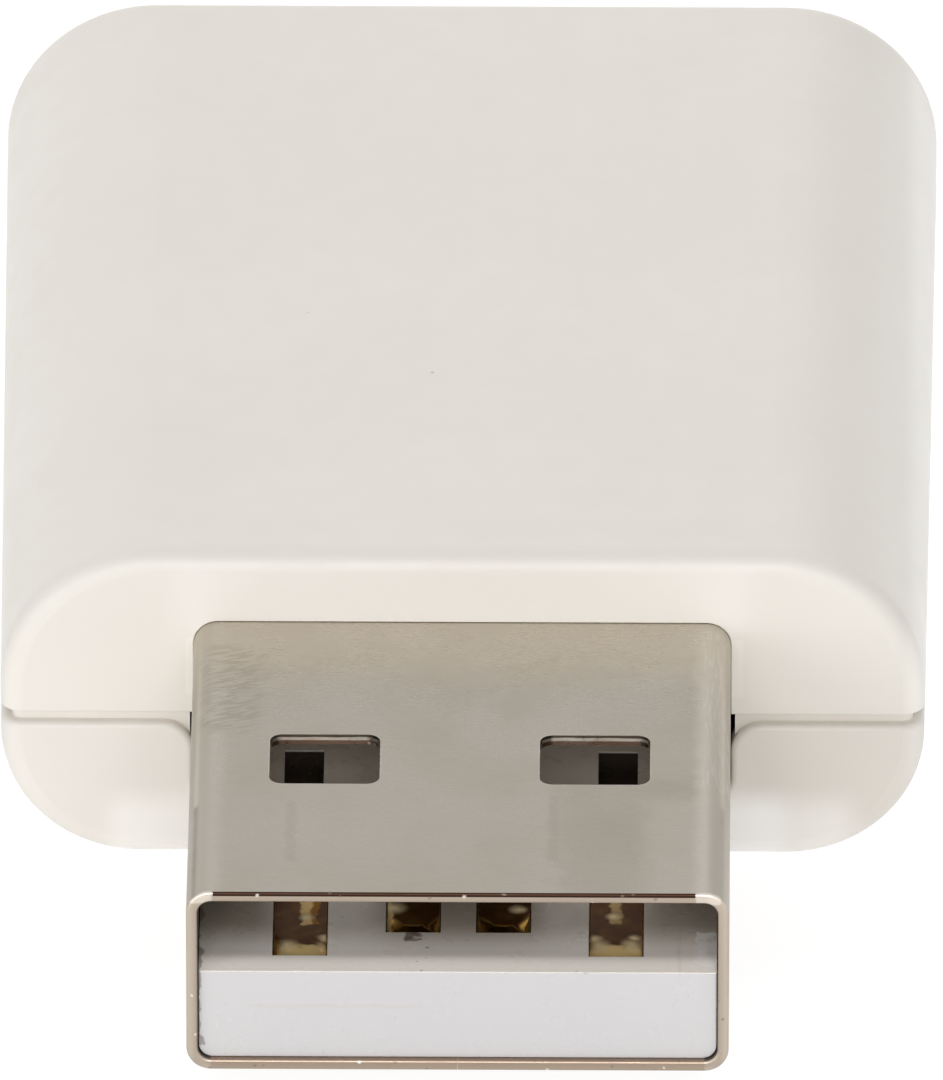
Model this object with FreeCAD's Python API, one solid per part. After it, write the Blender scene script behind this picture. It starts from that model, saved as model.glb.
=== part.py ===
import FreeCAD
import Part
import math
import os

# Signal repeater: a circuit board in a white housing of two shells, with a USB-A plug at its front
#
# Millimetres. X runs across the plug, Y from the plug's mouth to the back of the housing, Z up.
# The origin is the middle of the underside of the whole object's bounding box.

# Standard plug
plug_width = 12.0
plug_height = 4.5
plug_corner = 0.55
sheet = 0.25
plug_reach = 12.35
plug_seat = 6.4
rim_round = 0.06
latch_pitch = 6.0
latch_width = 2.45
latch_start = 4.95
latch_length = 2.25
latch_corner = 0.3
seam_gap = 0.006
seam_lock_depth = 1.0
seam_lock_neck = 1.0
seam_lock_head = 1.6
seam_lock_start = 5.6
seam_lock_pitch = 6.0

# Legs that solder the plug to the board
leg_width = 1.2
leg_reach = 1.0
leg_below = 0.3
leg_bend = 0.3
leg_back = 1.3
leg_pitch = 2.7
leg_window = 1.6
leg_slit = 0.1

# Insulator inside the plug
insulator_recess = 0.15
insulator_clearance = 0.02
tongue_height = 2.17
tongue_edge = 0.04
block_start = 11.2
block_setback = 0.3

# Contacts
contact_thickness = 0.25
contact_width = 1.18
contact_sink = 0.1
contact_tip_drop = 0.5
contact_tip_bend = 0.4
contact_dive_bend = 0.2
contact_tail = 1.3
rear_width = 0.8
power_pitch = 7.0
data_pitch = 2.0
power_slot_start = 0.72
data_slot_start = 1.78
slot_side_gap = 0.02
slot_end_gap = 0.08
rear_slot_start = 8.4
rear_slot_end = 10.2
rear_slot_side_gap = 0.04
tip_pocket_length = 0.75
tip_pocket_gap = 0.1

# Housing
body_length = 26.4
body_width_front = 20.66
body_width_back = 21.28
body_height = 7.75
top_radius = 3.45
bottom_radius = 3.1
end_round = 0.5
wall = 1.2
plug_drop = 0.09
mouth_clearance = 0.006
upper_mouth_round = 0.03
lower_mouth_corner = 0.7

# Joint between the two shells
parting_gap = 0.28
parting_drop = 0.22
groove_depth = 0.6
lip_height = 0.7
lip_root = 0.5
lip_clearance = 0.05
step_depth = 0.25
step_gap = 0.03
lip_plug_gap = 0.1
lower_edge_round = 0.15
upper_edge_round = 0.06
bead_radius = 0.2
bead_clearance = 0.05
bead_stand = 0.12
bead_length = 3.0
bead_pitch = 8.6
bead_under_top = 0.32

# Circuit board
board_drop = 1.09
board_thickness = 1.0
board_side_gap = 0.2
board_front_gap = 0.5
board_back_gap = 0.6
board_corner = 1.0
notch_gap = 0.15
slot_gap = 0.1

# Pins that join the shells through the board
pin_diameter = 1.2
pin_board_gap = 0.1
pin_boss_gap = 0.03
pin_length_in_boss = 0.6
post_diameter = 2.4
post_board_gap = 0.03
post_inset_x = 2.75
post_inset_y = 1.9
boss_floor = 0.6
pad_size = 1.2
rib_width = 0.8
rib_length = 9.0
rib_gap = 0.03

# Reset switch and the pinhole that reaches it
pinhole_back = 13.5
pinhole_diameter = 1.0
pinhole_sink = 0.15
switch_length = 4.4
switch_depth = 2.85
switch_height = 1.55
switch_axis = 0.87
cover_sheet = 0.15
pocket_depth = 1.75
pocket_width = 3.0
pocket_floor = 0.12
plunger_width = 1.9
plunger_height = 0.85
plunger_standout = 0.75
plunger_wall_gap = 0.2
plunger_flange = 0.55
plunger_edge = 0.12
plunger_running_gap = 0.05
nub_width = 0.6
nub_height = 0.7
dome_sheet = 0.08
dome_rise = 0.3
dome_length = 2.7
dome_height = 1.2
dome_gap = 0.01
terminal_width = 0.7
terminal_pitch = 2.3
terminal_sheet = 0.15
terminal_foot = 0.5
cover_foot = 0.4
cover_foot_width = 0.8

# Radio under its shield can
can_width = 10.6
can_length = 6.6
can_height = 1.7
can_sheet = 0.15
can_corner = 0.5
can_hole_diameter = 0.8
can_hole_pitch = 2.2
can_from_left = 1.0
radio_size = 5.0
radio_height = 0.85
crystal_width = 2.5
crystal_length = 2.0
crystal_height = 0.6
crystal_base = 0.35
crystal_rim = 0.15
memory_width = 3.0
memory_length = 2.0
memory_height = 0.75
package_edge = 0.08

# Supply parts between the plug's tails and the can
regulator_width = 1.6
regulator_length = 2.9
regulator_height = 1.1
regulator_stand = 0.1
regulator_lead = 0.15
regulator_lead_width = 0.35
regulator_lead_pitch = 0.95
regulator_span = 2.8
regulator_foot = 0.4
regulator_bend = 0.1
supply_cap_width = 1.25
supply_cap_length = 2.0
supply_cap_height = 1.1
ferrite_width = 0.8
ferrite_length = 1.6
ferrite_height = 0.8
diode_width = 1.25
diode_length = 1.8
diode_height = 0.9
diode_terminal = 0.3
diode_terminal_width = 0.4
diode_terminal_sheet = 0.15

# Small parts and the antenna
cap_share = 0.3
cap_rim = 0.03
chip_part_length = 1.0
chip_part_width = 0.5
resistor_height = 0.35
capacitor_height = 0.5
inductor_height = 0.5
antenna_width = 5.2
antenna_length = 2.0
antenna_height = 1.1
antenna_back = 1.5
led_length = 1.6
led_width = 0.8
led_base = 0.25
led_height = 0.6
led_lens = 1.1
led_edge = 0.15
window_diameter = 2.4
window_wall = 0.5
part_gap = 0.6

# Places that follow from the sizes above
plug_half = plug_width / 2
plug_length = plug_reach + plug_seat
y_mouth = -(plug_reach + body_length) / 2
y_front = y_mouth + plug_reach
y_back = y_front + body_length
y_plug_end = y_mouth + plug_length
taper = math.atan2((body_width_back - body_width_front) / 2, body_length)
z_plug = body_height / 2 - plug_drop
z_plug_low = z_plug - plug_height / 2
z_plug_high = z_plug + plug_height / 2
z_lower_edge = z_plug - parting_drop - parting_gap / 2
z_upper_edge = z_lower_edge + parting_gap
z_lip_top = z_upper_edge + lip_height
z_board = z_plug - board_drop
z_board_low = z_board - board_thickness
z_inner_low = z_plug_low + sheet
z_tongue = z_inner_low + tongue_height
z_contact = z_tongue - contact_sink - contact_thickness / 2
z_tail = z_board + contact_thickness / 2
y_board_front = y_front + wall + board_front_gap
y_board_back = y_back - wall - board_back_gap
y_notch = y_plug_end + notch_gap
y_tail_end = y_notch + contact_tail
y_switch = y_front + pinhole_back
z_switch = z_board + switch_axis

far = 2 * (body_length + plug_length)
X_AXIS = FreeCAD.Vector(1, 0, 0)
Y_AXIS = FreeCAD.Vector(0, 1, 0)
Z_AXIS = FreeCAD.Vector(0, 0, 1)
ORIGIN = FreeCAD.Vector(0, 0, 0)


# Basic shapes

def block(x0, x1, y0, y1, z0, z1):
    """A box between two opposite corners."""
    return Part.makeBox(x1 - x0, y1 - y0, z1 - z0, FreeCAD.Vector(x0, y0, z0))


def rod(diameter, start, end):
    """A round rod from one point to another."""
    line = end - start
    return Part.makeCylinder(diameter / 2, line.Length, start, line)


def mirrored(shape):
    """The shape's mirror image across the middle plane."""
    return shape.mirror(ORIGIN, X_AXIS)


def both_sides(shape):
    """The shape and its mirror image, as one group."""
    return shape.fuse(mirrored(shape))


def along(edge, axis):
    """Whether an edge is straight and runs along an axis."""
    if not isinstance(edge.Curve, Part.Line):
        return False
    return abs(edge.tangentAt(edge.FirstParameter).dot(axis)) > 0.999


def rounded(shape, radius, axis):
    """The shape with all its straight edges along an axis rounded."""
    return shape.makeFillet(radius, [e for e in shape.Edges if along(e, axis)])


def in_plane(edge, y):
    """Whether an edge lies in the plane across Y at y."""
    box = edge.BoundBox
    return abs(box.YMin - y) < 1e-4 and abs(box.YMax - y) < 1e-4


def ribbon(points, bends, thickness):
    """The outline of a strip of even thickness along a path of points, with an arc at each bend."""
    runs = [(b - a).normalize() for a, b in zip(points, points[1:])]
    normal = runs[0].cross(runs[1]).normalize()
    sides = []
    for side in (-thickness / 2, thickness / 2):
        edges = []
        start = points[0] + normal.cross(runs[0]) * side
        for i, bend in enumerate(bends):
            before = runs[i]
            after = runs[i + 1]
            turn = before.getAngle(after)
            corner = points[i + 1]
            cut = bend * math.tan(turn / 2)
            inward = (after - before).normalize()
            centre = corner + inward * (bend / math.cos(turn / 2))
            enter = corner - before * cut + normal.cross(before) * side
            leave = corner + after * cut + normal.cross(after) * side
            middle = centre - inward * (enter - centre).Length
            edges.append(Part.makeLine(start, enter))
            edges.append(Part.Arc(enter, middle, leave).toShape())
            start = leave
        edges.append(Part.makeLine(start, points[-1] + normal.cross(runs[-1]) * side))
        sides.append(edges)
    caps = [Part.makeLine(sides[0][k].Vertexes[k].Point, sides[1][k].Vertexes[k].Point) for k in (0, -1)]
    return Part.Face(Part.Wire(Part.sortEdges(sides[0] + sides[1] + caps)[0]))


def bar(half, z0, z1, radius, y0, y1):
    """A bar along Y, even on both sides of the middle, with rounded long edges."""
    return rounded(block(-half, half, y0, y1, z0, z1), radius, Y_AXIS)


# Housing form

def half_width(y, inset):
    """Half the housing's width at y, to a skin that lies inset behind its surface."""
    outer = body_width_front / 2 + (y - y_front) * math.tan(taper)
    return outer - inset / math.cos(taper)


def half_width_low(y, inset, z):
    """The same at a height in the housing's rounded lower edge."""
    radius = bottom_radius - inset
    depth = max(0.0, bottom_radius - z)
    return half_width(y, inset) - radius + math.sqrt(radius ** 2 - min(radius, depth) ** 2)


def body(inset):
    """The housing's outer form with every face moved inwards by inset."""
    run = FreeCAD.Vector(math.sin(taper), math.cos(taper), 0)
    inward = FreeCAD.Vector(-math.cos(taper), math.sin(taper), 0)
    base = FreeCAD.Vector(half_width(y_front - wall, inset), y_front - wall, 0)
    low = bottom_radius - inset
    high = top_radius - inset
    z0 = inset
    z1 = body_height - inset
    bevel = 1 - math.sqrt(0.5)

    def at(distance, z):
        return base + inward * distance + FreeCAD.Vector(0, 0, z)

    outline = [
        Part.makeLine(at(far, z0), at(low, z0)),
        Part.Arc(at(low, z0), at(low * bevel, z0 + low * bevel), at(0, z0 + low)).toShape(),
        Part.makeLine(at(0, z0 + low), at(0, z1 - high)),
        Part.Arc(at(0, z1 - high), at(high * bevel, z1 - high * bevel), at(high, z1)).toShape(),
        Part.makeLine(at(high, z1), at(far, z1)),
        Part.makeLine(at(far, z1), at(far, z0)),
    ]
    prism = Part.Face(Part.Wire(outline)).extrude(run * far)
    half = prism.common(block(0, far, y_front + inset, y_back - inset, 0, body_height))
    whole = half.fuse(mirrored(half)).removeSplitter()
    if inset < end_round:
        ends = [e for e in whole.Edges if in_plane(e, y_front + inset) or in_plane(e, y_back - inset)]
        whole = whole.makeFillet(end_round - inset, ends)
    return whole


def layer(z0, z1):
    """All space between two heights."""
    return block(-far, far, -far, far, z0, z1)


def plug_hole(gap, y0, y1):
    """The plug's outer form, grown by a gap, between two places along it."""
    return bar(plug_half + gap, z_plug_low - gap, z_plug_high + gap, plug_corner + gap, y0, y1)


def pinhole():
    """The round hole for a pin on the right side, sunk a little at its mouth."""
    outside = half_width(y_switch, 0)
    sink = pinhole_sink + pinhole_diameter / 2
    hole = rod(pinhole_diameter, FreeCAD.Vector(outside - 2 * wall, y_switch, z_switch),
               FreeCAD.Vector(outside + wall, y_switch, z_switch))
    cone = Part.makeCone(0, 2 * sink, 2 * sink, FreeCAD.Vector(outside - sink, y_switch, z_switch), X_AXIS)
    return hole.fuse(cone)


def side_bead(y, radius):
    """A round ridge along the right side of the lip, where the shells snap together."""
    run = FreeCAD.Vector(math.sin(taper), math.cos(taper), 0)
    x = half_width(y, groove_depth + bead_radius - bead_stand)
    middle = FreeCAD.Vector(x, y, z_lip_top - bead_under_top)
    half = run * (bead_length / 2 + radius - bead_radius)
    return rod(2 * radius, middle - half, middle + half)


def snap_beads(radius):
    """The ridges on both long sides of the lip."""
    middle = (y_front + y_back) / 2
    right = side_bead(middle - bead_pitch / 2, radius).fuse(side_bead(middle + bead_pitch / 2, radius))
    return both_sides(right)


def post_places():
    """Where the two pins pass through the board, near its back corners."""
    y = y_board_back - post_inset_y
    x = half_width_low(y, wall, z_board_low) - post_inset_x + board_side_gap
    return [FreeCAD.Vector(side * x, y, 0) for side in (-1, 1)]


def rib_places():
    """Where ribs in both shells hold the plug, one behind the front wall and one near its end."""
    return [y_front + wall + rib_width, y_plug_end - 2 * rib_width]


def upper_shell():
    """The upper housing shell, with the ribs on the plug, the posts and the thin spot over the lamp."""
    shell = body(0).cut(body(wall)).common(layer(z_upper_edge, body_height))
    edge = [e for e in shell.Edges if outer_edge(e, z_upper_edge)]
    shell = shell.makeFillet(upper_edge_round, edge)
    shell = shell.cut(body(groove_depth - lip_clearance).common(layer(0, z_lip_top + lip_clearance)))
    shell = shell.cut(snap_beads(bead_radius + bead_clearance))
    shell = shell.cut(plug_hole(mouth_clearance, y_mouth, y_front + wall))
    mouth = [e for e in shell.Edges if mouth_edge(e, 0)]
    shell = shell.makeFillet(upper_mouth_round, mouth)
    skin = body(wall / 2)
    for y in rib_places():
        rib = block(-rib_length / 2, rib_length / 2, y - rib_width / 2, y + rib_width / 2,
                    z_plug_high + rib_gap, body_height)
        shell = shell.fuse(rib.common(skin))
    for place in post_places():
        foot = place + FreeCAD.Vector(0, 0, z_board + post_board_gap)
        tip = place + FreeCAD.Vector(0, 0, z_board_low - pin_length_in_boss)
        top = place + FreeCAD.Vector(0, 0, body_height)
        post = rod(post_diameter, foot, top).fuse(rod(pin_diameter, tip, top))
        shell = shell.fuse(post.common(skin))
    led = led_place()
    spot = rod(window_diameter, led, led + FreeCAD.Vector(0, 0, body_height - window_wall - led.z))
    return shell.cut(spot).cut(pinhole()).removeSplitter()


def outer_edge(edge, z):
    """Whether an edge runs round the outside of the housing at a height, and not inside a shell."""
    box = edge.BoundBox
    if abs(box.ZMin - z) > 1e-4 or abs(box.ZMax - z) > 1e-4:
        return False
    if in_plane(edge, y_front) or in_plane(edge, y_back):
        return True
    middle = edge.valueAt((edge.FirstParameter + edge.LastParameter) / 2)
    return abs(middle.x) > half_width(middle.y, end_round)


def mouth_edge(edge, corner):
    """Whether an edge lies in the front face and bounds the plug's opening, with corners of a radius."""
    box = edge.BoundBox
    reach = plug_half + mouth_clearance + corner + 1e-4
    low = z_plug_low - mouth_clearance - 1e-4
    high = z_plug_high + mouth_clearance + 1e-4
    if not in_plane(edge, y_front) or box.ZMin < low or box.ZMax > high:
        return False
    return box.XMax < reach and box.XMin > -reach


def lower_shell():
    """The lower housing shell, with its stepped lip, snap ridges, plug cradle and seats for the board."""
    shell = body(0).cut(body(wall)).common(layer(0, z_lower_edge))
    side = plug_half + mouth_clearance
    shell = shell.cut(plug_hole(mouth_clearance, y_mouth, y_front + groove_depth))
    low = z_lower_edge - lower_mouth_corner
    corner = block(side, side + lower_mouth_corner, y_mouth, y_front + groove_depth, low, z_lower_edge)
    drum = rod(2 * lower_mouth_corner, FreeCAD.Vector(side + lower_mouth_corner, y_mouth, low),
               FreeCAD.Vector(side + lower_mouth_corner, y_front + groove_depth, low))
    shell = shell.cut(both_sides(corner.cut(drum)))
    rim = [e for e in shell.Edges if outer_edge(e, z_lower_edge) or mouth_edge(e, lower_mouth_corner)]
    shell = shell.makeFillet(lower_edge_round, rim)
    lip = body(groove_depth).cut(body(wall)).common(layer(z_lower_edge - lip_root, z_lip_top))
    step = body(step_depth).cut(body(wall)).common(layer(z_lower_edge - lip_root, z_upper_edge - step_gap))
    step = step.cut(plug_hole(lip_plug_gap, y_mouth, y_front + wall))
    ring = body(groove_depth).common(layer(z_lower_edge - lip_root, z_lip_top))
    beads = snap_beads(bead_radius).cut(ring)
    shell = shell.fuse(lip.fuse(beads)).cut(plug_hole(lip_plug_gap, y_front + groove_depth, y_front + wall))
    shell = shell.fuse(step)
    skin = body(wall / 2)
    for y in rib_places():
        rib = block(-rib_length / 2, rib_length / 2, y - rib_width / 2, y + rib_width / 2, 0, z_plug_low)
        shell = shell.fuse(rib.common(skin))
    for x, y in pad_places():
        pad = block(x - pad_size / 2, x + pad_size / 2, y - pad_size / 2, y + pad_size / 2, 0, z_board_low)
        shell = shell.fuse(both_sides(pad).common(skin))
    for place in post_places():
        top = place + FreeCAD.Vector(0, 0, z_board_low)
        shell = shell.fuse(rod(post_diameter, place, top).common(skin))
        hole = rod(pin_diameter + 2 * pin_boss_gap, place + FreeCAD.Vector(0, 0, boss_floor), top)
        shell = shell.cut(hole)
    return shell.cut(pinhole()).removeSplitter()


def pad_places():
    """The board's seats on the right: one under each arm and one beside the switch."""
    arm_x = (leg_line() + board_half(y_board_front)) / 2
    arm_y = y_plug_end - leg_back - leg_pitch / 2
    return [(arm_x, arm_y), (board_half(y_switch) - pad_size, y_switch)]


# Plug

def leg_line():
    """How far from the middle the legs go down through the board."""
    return plug_half + leg_reach


def leg_rows():
    """Where the legs stand along the plug."""
    return [y_plug_end - leg_back, y_plug_end - leg_back - leg_pitch]


def seam():
    """The slit where the folded sheet's edges meet under the plug, with two dovetail locks."""
    points = [FreeCAD.Vector(0, y_mouth - 1, 0)]
    for lock in (0, 1):
        y = y_mouth + seam_lock_start + lock * seam_lock_pitch
        points.append(FreeCAD.Vector(0, y - seam_lock_neck / 2, 0))
        points.append(FreeCAD.Vector(seam_lock_depth, y - seam_lock_head / 2, 0))
        points.append(FreeCAD.Vector(seam_lock_depth, y + seam_lock_head / 2, 0))
        points.append(FreeCAD.Vector(0, y + seam_lock_neck / 2, 0))
    points.append(FreeCAD.Vector(0, y_plug_end + 1, 0))
    slit = ribbon(points, [2 * seam_gap] * (len(points) - 2), seam_gap)
    slit.translate(Z_AXIS * (z_inner_low - 2 * sheet))
    return slit.extrude(Z_AXIS * 3 * sheet)


def usb_shell():
    """The plug's folded steel sheet, with its latch windows, seam, rounded rim and four legs."""
    outer = bar(plug_half, z_plug_low, z_plug_high, plug_corner, y_mouth, y_plug_end)
    inner = bar(plug_half - sheet, z_inner_low, z_plug_high - sheet, plug_corner - sheet,
                y_mouth - 1, y_plug_end + 1)
    shell = outer.cut(inner)
    shell = shell.makeFillet(rim_round, [e for e in shell.Edges if in_plane(e, y_mouth)])
    start = y_mouth + latch_start
    for x in (-latch_pitch / 2, latch_pitch / 2):
        window = block(x - latch_width / 2, x + latch_width / 2, start, start + latch_length,
                       z_plug_low - 1, z_plug_high + 1)
        shell = shell.cut(rounded(window, latch_corner, Z_AXIS))
    shell = shell.cut(seam())
    for y in leg_rows():
        window = block(plug_half - 2 * sheet, plug_half + sheet,
                       y - leg_width / 2 - leg_slit, y + leg_width / 2 + leg_slit,
                       z_board + sheet, z_board + sheet + leg_window)
        shell = shell.cut(both_sides(window))
        level = z_board + sheet / 2
        path = [
            FreeCAD.Vector(plug_half - sheet, y - leg_width / 2, level),
            FreeCAD.Vector(leg_line(), y - leg_width / 2, level),
            FreeCAD.Vector(leg_line(), y - leg_width / 2, z_board_low - leg_below),
        ]
        leg = ribbon(path, [leg_bend], sheet).extrude(Y_AXIS * leg_width)
        shell = shell.fuse(both_sides(leg))
    return shell.removeSplitter()


def contact(x, slot_start):
    """One contact: a tip bent down, a flat run, a step down into the insulator and a tail on the board."""
    y_tip = y_mouth + insulator_recess + slot_start + slot_end_gap + contact_thickness / 2
    y_dive = y_mouth + rear_slot_start + contact_dive_bend
    path = [
        FreeCAD.Vector(x - contact_width / 2, y_tip, z_contact - contact_tip_drop),
        FreeCAD.Vector(x - contact_width / 2, y_tip, z_contact),
        FreeCAD.Vector(x - contact_width / 2, y_dive, z_contact),
        FreeCAD.Vector(x - contact_width / 2, y_dive, z_tail),
        FreeCAD.Vector(x - contact_width / 2, y_tail_end, z_tail),
    ]
    bends = [contact_tip_bend, contact_dive_bend, contact_dive_bend]
    strip = ribbon(path, bends, contact_thickness).extrude(X_AXIS * contact_width)
    front = block(x - contact_width / 2, x + contact_width / 2, y_mouth, y_dive - contact_thickness,
                  0, body_height)
    rear = block(x - rear_width / 2, x + rear_width / 2, y_mouth, y_tail_end, 0, body_height)
    return strip.common(front.fuse(rear))


def contact_slots(x, slot_start):
    """The insulator's open slot over one contact: a wide front part, a tip pocket and a narrow deep end."""
    half = contact_width / 2 + slot_side_gap
    start = y_mouth + insulator_recess + slot_start
    middle = y_mouth + rear_slot_start
    floor = z_contact - contact_thickness / 2
    front = block(x - half, x + half, start, middle, floor, z_plug_high)
    pocket = block(x - half, x + half, start, start + tip_pocket_length,
                   z_contact - contact_tip_drop - tip_pocket_gap, z_plug_high)
    narrow = rear_width / 2 + rear_slot_side_gap
    rear = block(x - narrow, x + narrow, middle - contact_thickness, y_mouth + rear_slot_end,
                 z_board, z_plug_high)
    return front.fuse(pocket).fuse(rear)


CONTACTS = {
    "supply_contact": (power_pitch / 2, power_slot_start),
    "data_minus_contact": (data_pitch / 2, data_slot_start),
    "data_plus_contact": (-data_pitch / 2, data_slot_start),
    "ground_contact": (-power_pitch / 2, power_slot_start),
}


def usb_insulator():
    """The white insert: a tongue with four slots, and the block that fills the plug behind it."""
    half = plug_half - sheet - insulator_clearance
    radius = plug_corner - sheet + insulator_clearance
    y0 = y_mouth + insulator_recess
    y1 = y_mouth + block_start
    y2 = y_plug_end - block_setback
    tongue = block(-half, half, y0, y1, z_inner_low, z_tongue)
    low = [e for e in tongue.Edges if along(e, Y_AXIS) and e.BoundBox.ZMax < z_plug - tongue_height / 2]
    tongue = tongue.makeFillet(radius, low)
    front = [e for e in tongue.Edges if in_plane(e, y0)]
    tongue = tongue.makeFillet(tongue_edge, front)
    rear = bar(half, z_inner_low, z_plug_high - sheet - insulator_clearance, radius, y1, y2)
    insert = tongue.fuse(rear)
    for x, slot_start in CONTACTS.values():
        insert = insert.cut(contact_slots(x, slot_start).common(layer_y(y0, y1)))
        insert = insert.cut(contact(x, slot_start))
    return insert.removeSplitter()


def layer_y(y0, y1):
    """All space between two places along Y."""
    return block(-far, far, y0, y1, -far, far)


# Circuit board

def board_half(y):
    """Half the board's width: what fits the housing's rounded lower edge at the board's underside."""
    return half_width_low(y, wall, z_board_low) - board_side_gap


def circuit_board():
    """The board, with the notch round the plug, the slots for its legs and the holes for the pins."""
    half = board_half(y_board_front)
    board = rounded(block(-half, half, y_board_front, y_board_back, z_board_low, z_board),
                    board_corner, Z_AXIS)
    notch = block(-plug_half - notch_gap, plug_half + notch_gap, y_board_front - board_corner, y_notch,
                  z_board_low, z_board)
    board = board.cut(notch)
    for y in leg_rows():
        slot = block(leg_line() - leg_bend - slot_gap, leg_line() + sheet / 2 + slot_gap,
                     y - leg_width / 2 - slot_gap, y + leg_width / 2 + slot_gap, z_board_low, z_board)
        board = board.cut(both_sides(slot))
    for place in post_places():
        hole = rod(pin_diameter + 2 * pin_board_gap, place, place + Z_AXIS * body_height)
        board = board.cut(hole)
    return board


# Reset switch, in place at the board's right edge

def switch_front():
    """Where the switch's metal front lies, so that its plunger ends just inside the housing's wall."""
    return half_width(y_switch, wall) - plunger_wall_gap - plunger_standout


def switch_block(x0, x1, y0, y1, z0, z1):
    """A box in the switch: X back from its front, Y from its middle, Z up from the board."""
    front = switch_front()
    return block(front - x1, front - x0, y_switch + y0, y_switch + y1, z_board + z0, z_board + z1)


def terminal_rows():
    """Where the switch's terminals lie along it."""
    return (-terminal_pitch / 2, terminal_pitch / 2)


def switch_terminals():
    """Two strips under the switch's base, each turned up behind the dome's ends."""
    back = cover_sheet + switch_depth
    wall_face = cover_sheet + pocket_depth
    strips = []
    for y in terminal_rows():
        y0 = y - terminal_width / 2
        y1 = y + terminal_width / 2
        foot = switch_block(wall_face, back + terminal_foot, y0, y1, 0, terminal_sheet)
        pad = switch_block(wall_face, wall_face + terminal_sheet, y0, y1, 0, switch_axis + nub_height / 2)
        strips.append(foot.fuse(pad).removeSplitter())
    return Part.makeCompound(strips)


def switch_base():
    """The moulded base, with the pocket for the dome and the plunger's flange."""
    half = switch_length / 2
    base = switch_block(cover_sheet, cover_sheet + switch_depth, -half, half, 0, switch_height)
    pocket = switch_block(cover_sheet, cover_sheet + pocket_depth, -pocket_width / 2, pocket_width / 2,
                          pocket_floor, switch_height)
    return base.cut(pocket).cut(switch_terminals())


def switch_cover():
    """The folded metal cover: top, front with the plunger's window, and a soldered foot at each end."""
    half = switch_length / 2
    back = cover_sheet + switch_depth
    top = switch_height + cover_sheet
    cover = switch_block(0, back, -half - cover_sheet, half + cover_sheet, 0, top)
    cover = rounded(cover, cover_sheet, X_AXIS)
    cover = cover.cut(switch_block(cover_sheet, back, -half, half, 0, switch_height))
    window_half = plunger_width / 2 + plunger_running_gap
    window_low = switch_axis - plunger_height / 2 - plunger_running_gap
    window_high = switch_axis + plunger_height / 2 + plunger_running_gap
    cover = cover.cut(switch_block(0, cover_sheet, -window_half, window_half, window_low, window_high))
    middle = back / 2
    for y0, y1 in ((-half - cover_sheet - cover_foot, -half), (half, half + cover_sheet + cover_foot)):
        cover = cover.fuse(switch_block(middle - cover_foot_width / 2, middle + cover_foot_width / 2,
                                        y0, y1, 0, cover_sheet))
    return cover.removeSplitter()


def dome_crown():
    """How far behind the switch's front the dome's crown lies."""
    return cover_sheet + pocket_depth - dome_rise - dome_sheet


def switch_dome():
    """The arched metal snap spring, standing on its ends against the pocket's back."""
    front = switch_front()
    foot_x = front - cover_sheet - pocket_depth
    half = dome_length / 2
    z0 = z_switch - dome_height / 2

    def arc(rise):
        a = FreeCAD.Vector(foot_x, y_switch - half, z0)
        b = FreeCAD.Vector(foot_x + rise, y_switch, z0)
        c = FreeCAD.Vector(foot_x, y_switch + half, z0)
        return Part.Arc(a, b, c).toShape()

    outer = Part.Face(Part.Wire([arc(dome_rise + dome_sheet),
                                 Part.makeLine(FreeCAD.Vector(foot_x, y_switch + half, z0),
                                               FreeCAD.Vector(foot_x, y_switch - half, z0))]))
    dome = outer.extrude(Z_AXIS * dome_height)
    hollow = outer.copy()
    hollow.translate(X_AXIS * -dome_sheet)
    return dome.cut(hollow.extrude(Z_AXIS * dome_height))


def reset_plunger():
    """The sprung button behind the pinhole: a stem, a flange that keeps it in, and a nub on the dome."""
    gap = plunger_running_gap
    half = plunger_width / 2
    low = switch_axis - plunger_height / 2
    high = switch_axis + plunger_height / 2
    flange_start = cover_sheet + gap
    flange_end = flange_start + plunger_flange
    stem = switch_block(-plunger_standout, flange_end, -half, half, low, high)
    tip = [e for e in stem.Edges if e.BoundBox.XMin > switch_front() + plunger_standout - 1e-4]
    stem = stem.makeFillet(plunger_edge, tip)
    flange = switch_block(flange_start, flange_end, gap - pocket_width / 2, pocket_width / 2 - gap,
                          pocket_floor + gap, switch_height - gap)
    nub = switch_block(flange_end, dome_crown() - dome_gap, -nub_width / 2, nub_width / 2,
                       switch_axis - nub_height / 2, switch_axis + nub_height / 2)
    return stem.fuse(flange).fuse(nub).removeSplitter()


# Parts on the board

def on_board(x, y, width, length, height):
    """A box that stands on the board, centred at a place."""
    return block(x - width / 2, x + width / 2, y - length / 2, y + length / 2, z_board, z_board + height)


def package(x, y, width, length, height):
    """A moulded chip package with a small bevel round its top."""
    body_block = on_board(x, y, width, length, height)
    top = [e for e in body_block.Edges if e.BoundBox.ZMin > z_board + height - 1e-4]
    return body_block.makeChamfer(package_edge, top)


def chip_part(x, y, width, length, height):
    """A small two-ended part: its end caps stand a little proud of its body."""
    cap = min(width, length) * cap_share
    rim = cap_rim
    if length > width:
        core = on_board(x, y, width - 2 * rim, length, height - rim)
        ends = [on_board(x, y + s * (length - cap) / 2, width, cap, height) for s in (-1, 1)]
    else:
        core = on_board(x, y, width, length - 2 * rim, height - rim)
        ends = [on_board(x + s * (width - cap) / 2, y, cap, length, height) for s in (-1, 1)]
    return core.fuse(ends[0]).fuse(ends[1]).removeSplitter()


def spread(start, end, lengths):
    """The middles of parts set between two places with even gaps."""
    gap = (end - start - sum(lengths)) / (len(lengths) + 1)
    middles = []
    for length in lengths:
        start += gap
        middles.append(start + length / 2)
        start += length
    return middles


def board_lines():
    """Three rows across the board between the contacts' tails and the posts: supply, can, network."""
    end = y_board_back - post_inset_y - post_diameter / 2
    return spread(y_tail_end, end, (regulator_length, can_length, chip_part_length))


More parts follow.
